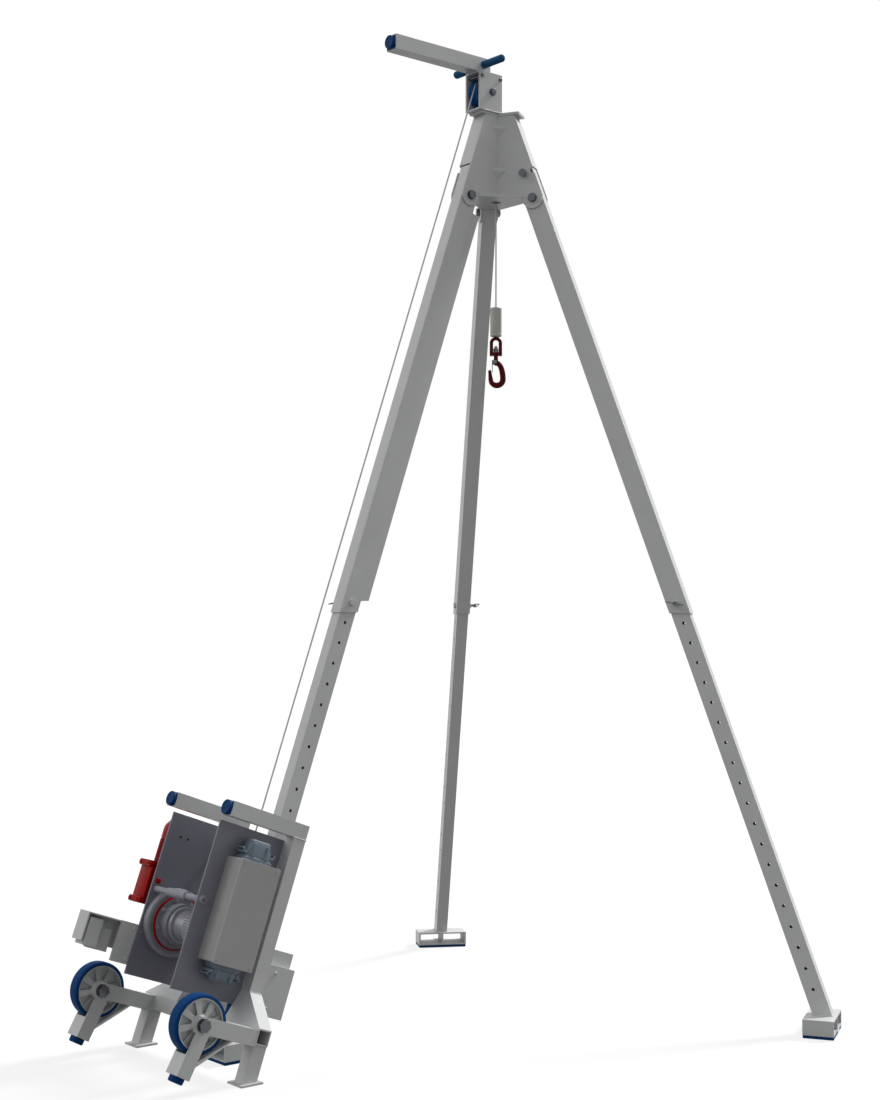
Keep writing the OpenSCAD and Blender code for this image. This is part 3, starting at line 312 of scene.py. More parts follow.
def surface(name, colour, wear_and_highlight_colour, rough, grain_mm, bump_mm, edge_mm=1.2, **constants):
    """A finish with rounded edges, wear and a painted highlight along them, a slow change of tone and a fine
    grain.

    colour is hex, and so is worn, the paler colour along the edges, which stands partly for wear and partly
    for a painted highlight. grain_mm is the spacing of the grain and bump_mm its height. The real grain of
    these finishes is mostly under a millimetre, while a pixel of the picture covers nearly three, so the
    grain is drawn several times as coarse as it is.
    """
    finish = bpy.data.materials.new(name)
    finish.use_nodes = True
    tree = finish.node_tree
    tree.nodes.clear()
    place = {"Vector": add_node(tree, "ShaderNodeTexCoord").outputs["Object"]}
    tone_settings = {"Scale": 1 / (TONE_MM * MM), "Detail": 3.0, "Roughness": 0.6}
    tone = add_node(tree, "ShaderNodeTexNoise", tone_settings, place).outputs["Fac"]
    grain = add_node(tree, "ShaderNodeTexNoise", {"Scale": 1 / (grain_mm * MM), "Detail": 2.0}, place)
    soft_edge = add_node(tree, "ShaderNodeBevel", {"Radius": edge_mm * MM, "samples": 4})
    flat = add_node(tree, "ShaderNodeNewGeometry")
    likeness = add_node(
        tree,
        "ShaderNodeVectorMath",
        {"operation": "DOT_PRODUCT"},
        {0: soft_edge.outputs["Normal"], 1: flat.outputs["Normal"]},
    )
    # where the edges turn to the paler colour: partly wear, partly a painted highlight where edges catch the
    # light
    edge = mapped(tree, likeness.outputs["Value"], (0.985, 0.90), (0.0, 0.75))
    mottled = add_node(
        tree,
        "ShaderNodeVectorMath",
        {"operation": "SCALE", 0: linear(colour)[:3]},
        {"Scale": mapped(tree, tone, TONE_SPAN, (0.96, 1.04))},
    )
    # the paler edge colour mixed in along the edges, partly wear and partly painted highlight
    wear_and_highlight_tint = add_node(
        tree,
        "ShaderNodeMix",
        {"data_type": "RGBA", MIX_B: linear(wear_and_highlight_colour)},
        {"Factor": edge, MIX_A: mottled.outputs["Vector"]},
    )
    bump = add_node(
        tree,
        "ShaderNodeBump",
        {"Strength": 0.6, "Distance": bump_mm * MM},
        {"Height": grain.outputs["Fac"], "Normal": soft_edge.outputs["Normal"]},
    )
    shader = add_node(
        tree,
        "ShaderNodeBsdfPrincipled",
        constants,
        {
            "Base Color": wear_and_highlight_tint.outputs[MIX_RESULT],
            "Roughness": mapped(tree, tone, TONE_SPAN, (rough * 0.88, min(1.0, rough * 1.12))),
            "Normal": bump.outputs["Normal"],
        },
    )
    add_node(tree, "ShaderNodeOutputMaterial", {}, {"Surface": shader.outputs["BSDF"]})
    return finish


# deep colours keep their depth where a pale studio would veil them
LOW_SHINE = {"Specular IOR Level": 0.08}

# light grey powder coat on welded aluminium: even and half matt, with a faint orange peel, paler on the edges
# partly from wear and partly as a painted highlight
POWDER_COAT = surface("grey_powder_coat", "#c3c4c4", "#d6d7d7", 0.46, 4.0, 0.05)
# dark grey powder coat on the cassette's steel side plates: cool, half matt, paler along its sheared edges
# partly from wear and partly as a painted highlight
DARK_COAT = surface("dark_powder_coat", "#70717b", "#9c9da5", 0.44, 4.0, 0.05, edge_mm=1.6)
# stove enamel on the control cabinet: darker and a little glossier than the frame
CABINET = surface("cabinet_enamel", "#9d9d9d", "#b5b5b5", 0.38, 5.0, 0.03, edge_mm=2.0)
# red enamel on the cast drive: deep and glossy over a coarse casting
DRIVE_RED = surface("red_drive_enamel", "#970c08", "#ad1c14", 0.42, 6.0, 0.12, edge_mm=1.6, **LOW_SHINE)
# dark red enamel on the forged hook, nearly black in the shade, rubbed a little at its edges and given a
# painted highlight there
HOOK_RED = surface("dark_red_hook_enamel", "#520408", "#660c10", 0.40, 3.0, 0.10, edge_mm=0.8, **LOW_SHINE)
# zinc-plated steel of the cross bar and the latch springs: slightly blurred, faintly patchy in the plating,
# its colour painted a little dark as a painted reflection of dark surroundings
ZINC = surface("zinc_plated_steel", "#8f9194", "#b9bbbd", 0.34, 2.0, 0.02, edge_mm=0.5, Metallic=1.0)
# oiled steel of bolts, pins, plungers and latch: its colour painted dark all over as a painted reflection of
# a dark ground, with a painted highlight on its edges and a small highlight from the lamps
BOLT_STEEL = surface("bolt_steel_painted_dark", "#55565a", "#8a8b8e", 0.30, 1.5, 0.02, edge_mm=0.4, Metallic=1.0)
# blackened socket screws: dark oxide with a thin shine
BLACK_STEEL = surface("black_oxide_steel", "#2b2c2f", "#57585b", 0.38, 1.5, 0.02, edge_mm=0.4, Metallic=1.0)
# galvanised steel wire: duller than plated steel, because the wires scatter light
ROPE = surface("galvanised_wire_rope", "#98999c", "#adaeb0", 0.50, 0.6, 0.04, edge_mm=0.2, Metallic=0.8)
# pressed aluminium sleeve on the rope's end: warm grey and matt
SLEEVE = surface("pressed_aluminium_sleeve", "#93938f", "#b0b0ac", 0.48, 1.6, 0.04, edge_mm=0.6, Metallic=0.4)
# sand-cast aluminium of the wheels: pale and grainy
CAST = surface("cast_aluminium", "#a6a7a7", "#c4c5c5", 0.55, 1.8, 0.10, edge_mm=1.0, Metallic=0.35)
# turned and lacquered alloy of the drum and the guide roller: cool grey with a soft shine
TURNED = surface("turned_alloy", "#9c9da4", "#bcbdc2", 0.36, 1.2, 0.03, edge_mm=0.8, Metallic=0.5)
# grey enamel on the gear housing, spacer bars and nuts, close in tone to the side plates
GEAR_GREY = surface("gear_housing_enamel", "#83848d", "#a3a4ab", 0.45, 5.0, 0.10, edge_mm=2.0)
# blue polyurethane of treads, buffers and soles: matt, soft-edged, finely pitted from the mould
BLUE_RUBBER = surface("blue_polyurethane", "#053a6e", "#0a4578", 0.62, 1.6, 0.10, edge_mm=1.5, **LOW_SHINE)
# blue polyethylene caps: smooth and slightly waxy
BLUE_PLASTIC = surface("blue_polyethylene", "#043868", "#0a4272", 0.50, 3.0, 0.03, edge_mm=1.2, **LOW_SHINE)
# blue-grey PVC hand grips: dull and a little dusty
GRIP_BLUE = surface("blue_grip_pvc", "#23527a", "#2f5f86", 0.66, 1.8, 0.12, edge_mm=1.2, **LOW_SHINE)
# turned blue nylon of the pulley
BLUE_NYLON = surface("blue_turned_nylon", "#07457f", "#0d4f8a", 0.45, 1.5, 0.03, edge_mm=0.8, **LOW_SHINE)
# die-cast connector hoods with blue-grey epoxy paint
HOOD_GREY = surface("blue_grey_epoxy", "#5f6d79", "#7d8b97", 0.42, 3.0, 0.06, edge_mm=1.5)
# black nitrile seals, deep and dull
SEAL = surface("black_nitrile", "#1b1c1e", "#2a2b2e", 0.65, 2.0, 0.05, edge_mm=0.4)

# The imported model's own parts, each with its finish
CAD_FINISHES = {
    POWDER_COAT: [
        "top_plate", "bottom_plate", "channel_plates", "corner_gussets", "pulley_housing", "head_arm",
        "winch_leg_upper", "right_leg_upper", "rear_leg_upper", "winch_leg_lower", "right_leg_lower",
        "rear_leg_lower", "stiffener_rail", "winch_frame", "wheel_frame", "side_bracket", "leg_clamp",
    ],
    DARK_COAT: ["side_plates"],
    CABINET: ["control_box"],
    BOLT_STEEL: [
        "stop_pins", "pivot_bolts", "pulley_axle", "guard_bolts", "axle_bolts", "latch_pin",
        "winch_leg_head_lock", "right_leg_head_lock", "rear_leg_head_lock", "winch_leg_plunger",
        "right_leg_plunger", "rear_leg_plunger", "swivel_nut", "hook_latch",
    ],
    ZINC: ["cross_bar"],
    HOOK_RED: ["hook_bow"],
    BLUE_NYLON: ["pulley_wheel"],
    CAST: ["near_wheel_rim", "far_wheel_rim"],
    TURNED: ["drum", "guide_roller"],
    GEAR_GREY: ["gearbox", "spacer_bar"],
}
for finish, names in CAD_FINISHES.items():
    for name in names:
        for part_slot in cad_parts[name].material_slots:
            part_slot.material = finish


# Wire rope: strands laid round each other, each drawn by three points of the rope's outline

STRANDS = 6
STRAND = (1.0, 0.93, 0.93)
LAY = 6.4 * ROPE_D


def laid(path, step=3.0):
    """A laid rope along a path in millimetres, its strands turning once in each lay."""
    points = evenly(path, step)
    along = [0.0]
    for a, b in zip(points, points[1:]):
        along.append(along[-1] + (b - a).length)
    return swept(
        points,
        lambda i, k: ROPE_D / 2 * STRAND[k % len(STRAND)],
        STRANDS * len(STRAND),
        lambda i: 2 * math.pi * along[i] / LAY,
    )


def around(n, w, radius, angle, u=0.0):
    """A point in the winch leg's frame, on a circle about an axle along u."""
    return Vector((n + radius * math.cos(angle), u, w + radius * math.sin(angle)))


fall = Form(Matrix.Scale(MM, 4)).add(laid([(0, 0, PULLEY_Z), (0, 0, SLEEVE_TOP)]))
fall_rope = piece("fall_rope", fall, ROPE, "head", ["rope_fall"])
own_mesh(fall_rope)

run = Form(WINCH_LEG).add(laid([(ROPE_N, 0, ROPE_TOP_W - ROPE_GAP), (ROPE_N, 0, RUN_START)]))
run_rope = piece("run_rope", run, ROPE, "winch_upper_leg", ["rope_run"])
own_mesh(run_rope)

OVER_STEPS = 48
over = []
for i in range(OVER_STEPS + 1):
    a = math.radians((180 - LEG_TILT) * i / OVER_STEPS)
    over.append((PULLEY_R - PULLEY_R * math.cos(a), 0, PULLEY_Z + PULLEY_R * math.sin(a)))
piece("pulley_rope", Form(HEAD).add(laid(over)), ROPE, "head", ["rope_over_pulley"])

# the rope leaves the drum along the tangent that it shares with the guide roller
ROLLER_ROPE_R = ROLLER_R + ROPE_D / 2
span = math.hypot(ROLLER_N - DRUM_N, ROLLER_W - DRUM_W)
LEAD_ANGLE = math.atan2(ROLLER_W - DRUM_W, ROLLER_N - DRUM_N) + math.acos((WOUND_R - ROLLER_ROPE_R) / span)
leave = Vector((math.sin(LEAD_ANGLE), 0, -math.cos(LEAD_ANGLE))) * ROPE_D
WRAP_STEPS = 12
lead = [around(DRUM_N, DRUM_W, WOUND_R, LEAD_ANGLE) + leave]
for i in range(WRAP_STEPS + 1):
    a = LEAD_ANGLE + (math.pi - LEAD_ANGLE) * i / WRAP_STEPS
    lead.append(around(ROLLER_N, ROLLER_W, ROLLER_ROPE_R, a))
lead.append(Vector((ROPE_N, 0, RUN_START)))
piece("lead_rope", Form(WINCH_LEG).add(laid(lead)), ROPE, "winch_lower_leg", ["rope_lead"])

PER_TURN = 36
turns = []
for i in range(DRUM_TURNS * PER_TURN + 1):
    turns_left = DRUM_TURNS - i / PER_TURN
    a = LEAD_ANGLE + 2 * math.pi * turns_left
    turns.append(around(DRUM_N, DRUM_W, WOUND_R, a, TURN_PITCH * turns_left))
wound = Form(WINCH_LEG).add(laid([*turns, turns[-1] + leave], 6))
piece("drum_winding", wound, ROPE, "drum", ["drum_rope"])


# Bolts and welds


def bolt_dress(form, seat, face, n, w, across, washer=1.7):
    """A washer under a hexagon head that reaches from seat to face along u, and the turned face on it."""
    way = 1 if face > seat else -1
    inner, outer = across * 0.3, across * 0.61
    ring = [(inner, 0), (outer, 0), (outer, washer * 0.7), (outer - 0.6, washer), (inner, washer)]
    form.add(turned(ring, 40, ring=True), pointing((n, seat, w), (0, way, 0)))
    dome = [(inner, 0), (across * 0.47, 0), (across * 0.46, 0.5), (across * 0.40, 0.9), (across * 0.05, 1.1)]
    form.add(turned(dome, 32), pointing((n, face - way * 0.1, w), (0, way, 0)))


def bead(path, radius):
    """A welded seam: a low tube along a path in millimetres, with a ripple every 4.5 mm."""
    ripple = 4.5
    points = evenly(path, ripple / 3)
    return swept(points, lambda i, k: radius * (1 + 0.13 * math.sin(2 * math.pi * i / 3)), 10)


def socket_screw(form, where, way, radius, height):
    """A button-head screw with a socket, its axis along u."""
    edge, socket, floor = radius * 0.72, radius * 0.42, height * 0.35
    corners = [(0.4, -1), (radius, -1), (radius, height * 0.45), (edge, height), (radius * 0.45, height),
               (socket, floor), (0.4, floor)]
    form.add(turned(rounded(corners, radius * 0.25), 28), pointing(where, (0, way, 0)))


# Head

AXLE_HEAD, AXLE_HEAD_H, GUARD_HEAD, GUARD_HEAD_H = 19, 8, 10, 4
pulley_bolts = Form(HEAD)
for side in (-1, 1):
    plate = side * HOUSE_W / 2
    bolt_dress(pulley_bolts, plate, plate + side * AXLE_HEAD_H, PULLEY_R, PULLEY_Z, AXLE_HEAD)
    for n in (HOUSE_BACK + 7, HOUSE_FRONT - 11):
        guard_z = DECK_Z + HOUSE_H - 15
        bolt_dress(pulley_bolts, plate, plate + side * GUARD_HEAD_H, n, guard_z, GUARD_HEAD, 1.2)
piece("pulley_bolt_washers", pulley_bolts, BOLT_STEEL, "head")

for leg, azimuth in LEGS.items():
    washers = Form(leg_frame(azimuth))
    for side in (-1, 1):
        bolt_dress(washers, side * PLATE_U, side * (PLATE_U + PIVOT_HEAD_H), 0, PIVOT_UP, PIVOT_HEAD)
    piece(leg + "_pivot_washers", washers, BOLT_STEEL, "head")


def leg_edge_r(z, n):
    """How far a line along a leg, n out from its middle, stands from the load line at a height."""
    tilt = math.radians(LEG_TILT)
    return PIVOT_R - (z - PIVOT_Z) * math.tan(tilt) + n / math.cos(tilt)


# seams of the head: round its three channels, where they meet, then on the pulley housing and the arm
head_seams = Form(Matrix.Scale(MM, 4))
fold = PLATE_U / math.tan(math.radians(60))
crease = PLATE_U / math.sin(math.radians(60))
for azimuth in LEGS.values():
    about = Matrix.Rotation(math.radians(azimuth), 4, "Z")
    for side in (-1, 1):
        u = side * PLATE_U
        low_z = BOTTOM_Z + BOTTOM_T
        head_seams.add(bead([(fold + 2, u, TOP_Z), (leg_edge_r(TOP_Z, CHANNEL_N) - 4, u, TOP_Z)], 2.0), about)
        head_seams.add(bead([(fold + 2, u, low_z), (PIVOT_R - CHANNEL_N - 2, u, low_z)], 2.0), about)
    corner = about @ Matrix.Rotation(math.radians(60), 4, "Z")
    head_seams.add(bead([(crease, 0, BOTTOM_Z + 10), (crease, 0, TOP_Z - 2)], 2.2), corner)
to_winch = Matrix.Rotation(math.radians(WINCH), 4, "Z")
for side in (-1, 1):
    u = side * HOUSE_W / 2
    head_seams.add(bead([(HOUSE_BACK + 2, u, DECK_Z), (HOUSE_FRONT - 16, u, DECK_Z)], 2.0), to_winch)
    u = side * ARM_S / 2
    head_seams.add(bead([(ARM_BACK + 2, u, ARM_Z), (HOUSE_FRONT - 2, u, ARM_Z)], 2.0), to_winch)
piece("head_seams", head_seams, POWDER_COAT, "head", smooth=60)


# Plugs in the ends of the square tubes: a round cap on a square foot

PLUG_IN = 8


def cap_shape(radius):
    """A cap with a rounded edge and a shallow dish in its face."""
    dish = CAP_L - 1.3
    profile = [
        (0.4, -PLUG_IN), (radius - 3, -PLUG_IN), (radius - 3, 0), (radius, 0), (radius, CAP_L - 1),
        (radius - 2.2, CAP_L), (radius - 5.5, CAP_L), (radius - 7, dish), (0.4, dish),
    ]
    return turned(rounded(profile, 1.6), 64)


def tube_insert(side):
    """The square foot of a plug, which fills the tube's end."""
    chamfer = 0.8
    foot = rectangle(side, side, 2.5)
    narrow = rectangle(side - 2 * chamfer, side - 2 * chamfer, 2)
    return layered([(-PLUG_IN, foot), (chamfer, foot), (2 * chamfer, narrow)])


arm_middle = pointing((ARM_FRONT, 0, ARM_Z + ARM_S / 2), (1, 0, 0))
arm_end = Form(HEAD).add(cap_shape((ARM_S - 4) / 2), arm_middle).add(tube_insert(ARM_S - 5), arm_middle)
piece("head_arm_plug", arm_end, BLUE_PLASTIC, "head", ["arm_cap"])

frame_ends = Form(WINCH_LEG)
for side in (-1, 1):
    tube_middle = pointing((FRAME_ARM_N, side * UPRIGHT_U, FRAME_TOP - TUBE_S / 2), (1, 0, 0))
    frame_ends.add(cap_shape(TUBE_S / 2), tube_middle).add(tube_insert(TUBE_S - 5), tube_middle)
piece("frame_plugs", frame_ends, BLUE_PLASTIC, "winch_lower_leg", ["frame_caps"])


# Moulded grips on the cross bar, with shallow rings and a closed round end

GRIP_RINGS, GRIP_COLLAR, GRIP_TAIL, GRIP_END_R, RING_DEPTH = 11, 8, 10, 8, 0.9
END_STEPS = 8
grip_from, grip_to = ARM_S / 2 + 1, BAR_L / 2
ring_pitch = (grip_to - grip_from - GRIP_COLLAR - GRIP_TAIL) / GRIP_RINGS
grip = [(0.5, grip_from), (GRIP_R - 1.5, grip_from), (GRIP_R, grip_from + 1.5), (GRIP_R, grip_from + 5)]
for i in range(GRIP_RINGS):
    low = grip_from + GRIP_COLLAR + i * ring_pitch
    for share, depth in ((0, 0.1), (0.25, RING_DEPTH), (0.4, RING_DEPTH), (0.65, 0.1)):
        grip.append((GRIP_R - depth, low + ring_pitch * share))
for i in range(END_STEPS + 1):
    a = math.pi / 2 * i / END_STEPS
    grip.append((GRIP_R - GRIP_END_R * (1 - math.cos(a)), grip_to - GRIP_END_R * (1 - math.sin(a))))
grip.append((0.5, grip_to))
grips = Form(HEAD)
for side in (-1, 1):
    grips.add(turned(grip, 48), pointing((BAR_N, 0, ARM_Z + ARM_S / 2), (0, side, 0)))
piece("bar_grip_sleeves", grips, GRIP_BLUE, "head", ["bar_grips"])


# Legs

# knurled knob of the lock that holds a leg in the head: its outline is a row of small teeth
KNURLS, KNOB_R, KNURL_DEPTH = 24, 11.9, 0.7
knurl = []
for k, (x, y) in enumerate(circle(1, 2 * KNURLS)):
    r = KNOB_R if k % 2 else KNOB_R - KNURL_DEPTH
    knurl.append((r * x, r * y))
inset = [(x * 0.93, y * 0.93) for x, y in knurl]
knob = layered([(0, inset), (1.0, knurl), (8.2, knurl), (9.2, inset)])
knob_face = turned([(8.5, 9.0), (9.6, 9.0), (9.2, 9.9), (7.5, 10.1), (0.5, 10.1)], 40)
knob_seat = -PLATE_U - 10.5

tilt = math.radians(LEG_TILT)
tube_top = PIVOT_UP + LEG_HEAD
closing_plate = rectangle(LOWER_N, LOWER_U, 2)
FLAP_T, FLAP_OVER = 4.4, 27
flap = rectangle(FLAP_T, UPPER_U - 1, 1)

GUIDE_STEPS = 40
guide_seam_r = GUIDE_D / 2 + 0.8
guide_seam = []
for i in range(GUIDE_STEPS + 1):
    a = 2 * math.pi * i / GUIDE_STEPS
    guide_seam.append((guide_seam_r * math.cos(a), -UPPER_U / 2, PLUNGER_UP + guide_seam_r * math.sin(a)))

foot_top = FOOT_H + PAD_H
foot_in = foot_top * math.tan(tilt) + 4
half_n, half_u = LOWER_N / 2 + 0.2, LOWER_U / 2 + 0.2
foot_seam = []
for n, u in ((half_n, half_u), (-half_n, half_u), (-half_n, -half_u), (half_n, -half_u), (half_n, half_u)):
    foot_seam.append((n, u, (foot_top - n * math.sin(tilt)) / math.cos(tilt)))

# ribbed rubber sole: its wall goes in and out by 0.8 mm, three times up its height
FIRST_RIB, RIB_PITCH, RIB_IN, GROOVE_IN = 0.8, 3.1, 0.2, 1.0
sole_wall = [(0, GROOVE_IN)]
for low in (FIRST_RIB, FIRST_RIB + RIB_PITCH):
    sole_wall += [(low, RIB_IN), (low + 1.4, RIB_IN), (low + 1.9, GROOVE_IN), (low + 2.6, GROOVE_IN)]
sole_wall += [(FIRST_RIB + 2 * RIB_PITCH, RIB_IN), (PAD_H - 0.4, RIB_IN), (PAD_H, 0.6)]
sole = layered([
    (height, rectangle(FOOT_L - 2 * inward, FOOT_W - 2 * inward, 3.0)) for height, inward in sole_wall
])

for leg, azimuth in LEGS.items():
    body = leg.replace("_leg", "")
    place = leg_frame(azimuth)
    at_lock = pointing((0, knob_seat, PIVOT_UP + LOCK_UP), (0, -1, 0))
    lock = Form(place).add(knob, at_lock).add(knob_face, at_lock)
    piece(leg + "_lock_knob", lock, BOLT_STEEL, body + "_head_lock", edge=0.2)

    # the tube's end is closed, and its outer wall runs on up to the head's closing strip
    closure = Form(place)
    closure.add(layered([(tube_top - 5, closing_plate), (tube_top - 0.6, closing_plate)]))
    wall_middle = Matrix.Translation(((UPPER_N - FLAP_T) / 2, 0, 0))
    closure.add(layered([(tube_top - 2, flap), (tube_top + FLAP_OVER, flap)]), wall_middle)
    piece(leg + "_top_closure", closure, POWDER_COAT, body + "_upper_leg", edge=0.4)

    # seams round the plunger's guide and on the foot
    collar = Form(place).add(bead(guide_seam, 1.3))
    piece(leg + "_guide_seam", collar, POWDER_COAT, body + "_upper_leg", smooth=60)
    foot_weld = Form(place).add(bead(foot_seam, 2.2))
    piece(leg + "_foot_seam", foot_weld, POWDER_COAT, body + "_lower_leg", smooth=60)

    under_foot = Matrix.Translation((FOOT_R - foot_in, 0, 0))
    rubber = Form(upright_frame(azimuth)).add(sole, under_foot)
    piece(leg + "_sole", rubber, BLUE_RUBBER, body + "_lower_leg", [leg + "_pad"])


# Lifting hook

BOW_TOP = SLEEVE_TOP - SLEEVE_L
NUT_Z = BOW_TOP - 50
HOOK_BOTTOM = BOW_TOP - 162
HOOK_Z = HOOK_BOTTOM + HOOK_MID + HOOK_D / 2
SHOULDER = HOOK_Z + THROAT_H

# pressed sleeve, with a shallow groove near its lower end
sleeve_r = SLEEVE_D / 2
sleeve_corners = [
    (0.5, 0), (sleeve_r - 2, 0), (sleeve_r, 2), (sleeve_r, 9), (sleeve_r - 1, 10.5), (sleeve_r, 12),
    (sleeve_r, SLEEVE_L - 2), (sleeve_r - 2, SLEEVE_L), (6, SLEEVE_L), (3.2, SLEEVE_L), (0.5, SLEEVE_L - 1),
]
sleeve = Form(Matrix.Scale(MM, 4))
sleeve.add(turned(rounded(sleeve_corners, 1.5), 64), Matrix.Translation((0, 0, BOW_TOP)))
piece("rope_end_sleeve", sleeve, SLEEVE, "hook_block", ["sleeve_weight"])


def hook_point(degrees, rise):
    """A point on the hook's line: an ellipse about the bowl's middle, as high as rise."""
    a = math.radians(degrees)
    return Vector((BOWL_X + HOOK_MID * math.cos(a), 0, HOOK_Z + rise * math.sin(a)))


def hook_radius(share, start, end):
    """The steel of the hook swells and narrows smoothly between two diameters."""
    eased = share * share * (3 - 2 * share)
    return (start + (end - start) * eased) / 2


BACK_STEPS, BOWL_STEPS, TIP_STEPS, BALL_STEPS = 18, 36, 10, 20
line = [Vector((BOWL_X - 1, 0, SHOULDER))]
radii = [SHOULDER_D / 2]
for i in range(1, BACK_STEPS + 1):
    line.append(hook_point(90 - 90 * i / BACK_STEPS, THROAT_H))
    radii.append(hook_radius(i / BACK_STEPS, SHOULDER_D, HOOK_D))
for i in range(1, BOWL_STEPS + 1):
    line.append(hook_point(-(180 - TIP_LEAN) * i / BOWL_STEPS, HOOK_MID))
    radii.append(hook_radius(max(0, 2 * i / BOWL_STEPS - 1), HOOK_D, BOWL_END_D))
lean = math.radians(TIP_LEAN)
tip_base = line[-1]
for i in range(1, TIP_STEPS + 1):
    line.append(tip_base + Vector((-math.sin(lean), 0, math.cos(lean))) * TIP_L * i / TIP_STEPS)
    radii.append((BOWL_END_D + (TIP_D - BOWL_END_D) * i / TIP_STEPS) / 2)
radii[-1] -= 1.6

SHANK_R = 6
shank = [
    (0.5, SHOULDER - 4), (SHANK_R, SHOULDER - 2), (7.4, SHOULDER + 3), (6.9, SHOULDER + 12),
    (6.4, SHOULDER + 20), (SHANK_R, SHOULDER + 26), (SHANK_R, NUT_Z), (0.5, NUT_Z),
]
ball_r = SHOULDER_D / 2 + 0.5
ball = []
for i in range(BALL_STEPS + 1):
    a = math.pi * (i / BALL_STEPS - 0.5)
    ball.append((max(0.5, ball_r * math.cos(a)), SHOULDER + ball_r * math.sin(a)))
forged = Form(HOOK_FRAME)
forged.add(swept(line, lambda i, k: radii[i], 32))
forged.add(turned(rounded(shank, 5), 40))
forged.add(turned(ball, 40), Matrix.Translation((1.5, 0, 0)))
piece("forged_hook", forged, HOOK_RED, "hook", ["hook"], smooth=50)

# springs that push the latch shut, wound on both ends of its pin
LATCH_X, LATCH_Z = -2, SHOULDER + 3
COIL_TURNS, COIL_STEPS, COIL_R, COIL_U, COIL_RISE, COIL_WIRE_R = 3, 14, 3.0, 13.6, 0.018, 0.45
for side, end in ((-1, "a"), (1, "b")):
    coil = []
    for i in range(COIL_TURNS * COIL_STEPS + 1):
        a = 2 * math.pi * i / COIL_STEPS
        u = side * (COIL_U + i * COIL_RISE)
        coil.append((LATCH_X + COIL_R * math.cos(a), u, LATCH_Z + COIL_R * math.sin(a)))
    spring = Form(HOOK_FRAME).add(swept(coil, lambda i, k: COIL_WIRE_R, 8))
    piece("latch_spring_" + end, spring, ZINC, "hook")


# Wheels

# half of the tyre's section, from the middle of the tread to the rim
tyre_half = [
    (WHEEL_R - drop, WHEEL_W / 2 - inward)
    for drop, inward in ((0, WHEEL_W / 2 - 0.6), (0, 9), (0.2, 5), (1.6, 1.6), (4.5, 0.2), (TYRE_T, 0))
]
tyre = turned([(r, -z) for r, z in reversed(tyre_half)] + tyre_half, 128, ring=True)

SEAL_HOLE, SEAL_R, SEAL_T, SEAL_CHAMFER = 10.6, 17.0, 2.2, 0.4
seal_face = FORK_W / 2 - FORK_T - 0.3
AXLE_ACROSS, AXLE_WASHER, AXLE_HEAD_L, AXLE_NUT_L = 30, 2.4, 13, 14
for label, side in (("near", 1), ("far", -1)):
    wheel_u = side * WHEEL_U
    centre = Matrix.Translation((WHEEL_N, wheel_u, WHEEL_UP)) @ Matrix.Rotation(-math.pi / 2, 4, "X")
    tread = Form(WINCH_LEG).add(tyre, centre)
    piece(label + "_wheel_tread", tread, BLUE_RUBBER, label + "_wheel", [label + "_wheel_tyre"], smooth=40)
    seals = Form(WINCH_LEG)
    for way in (-1, 1):
        ring = [
            (SEAL_HOLE, way * (seal_face - SEAL_T)),
            (SEAL_R, way * (seal_face - SEAL_T)),
            (SEAL_R, way * (seal_face - SEAL_CHAMFER)),
            (SEAL_R - 2 * SEAL_CHAMFER, way * seal_face),
            (SEAL_HOLE, way * seal_face),
        ]
        seals.add(turned(ring, 48, ring=True), centre)
    piece(label + "_wheel_bearing_seals", seals, SEAL, label + "_wheel")
    nuts = Form(WINCH_LEG)
    head_u, nut_u = wheel_u + FORK_W / 2, wheel_u - FORK_W / 2
    bolt_dress(nuts, head_u, head_u + AXLE_HEAD_L, WHEEL_N, WHEEL_UP, AXLE_ACROSS, AXLE_WASHER)
    bolt_dress(nuts, nut_u, nut_u - AXLE_NUT_L, WHEEL_N, WHEEL_UP, AXLE_ACROSS, AXLE_WASHER)
    piece(label + "_axle_washers", nuts, BOLT_STEEL, "winch_lower_leg")

# rubber buffers at the ends of the braces, and one stop under the side plate
brace_base = Matrix.Translation((WHEEL_N - 8, 0, WHEEL_UP - 10))
brace_turn = brace_base @ Matrix.Rotation(math.radians(180 - BRACE_TILT), 4, "Y")
bumper_profile = rounded([(0.5, -2), (20, -2), (20, 13.5), (17.5, 16), (6, 16), (0.5, 15.2)], 2.2)
bumpers = Form(WINCH_LEG)
for side in (-1, 1):
    bumpers.add(turned(bumper_profile, 56), brace_turn @ Matrix.Translation((0, side * WHEEL_U, BRACE_L)))
STOP_R, STOP_L = 12, SIDE_LOW - CROSS_TOP
stop_profile = rounded([(0.5, 0), (STOP_R, 0), (STOP_R, STOP_L), (0.5, STOP_L)], 1.5)
bumpers.add(turned(stop_profile, 40), Matrix.Translation((CROSS_N + TUBE_S / 2, SIDE_U - 8, CROSS_TOP)))
piece("rubber_bumpers", bumpers, BLUE_RUBBER, "winch_lower_leg", ["frame_buffers"])

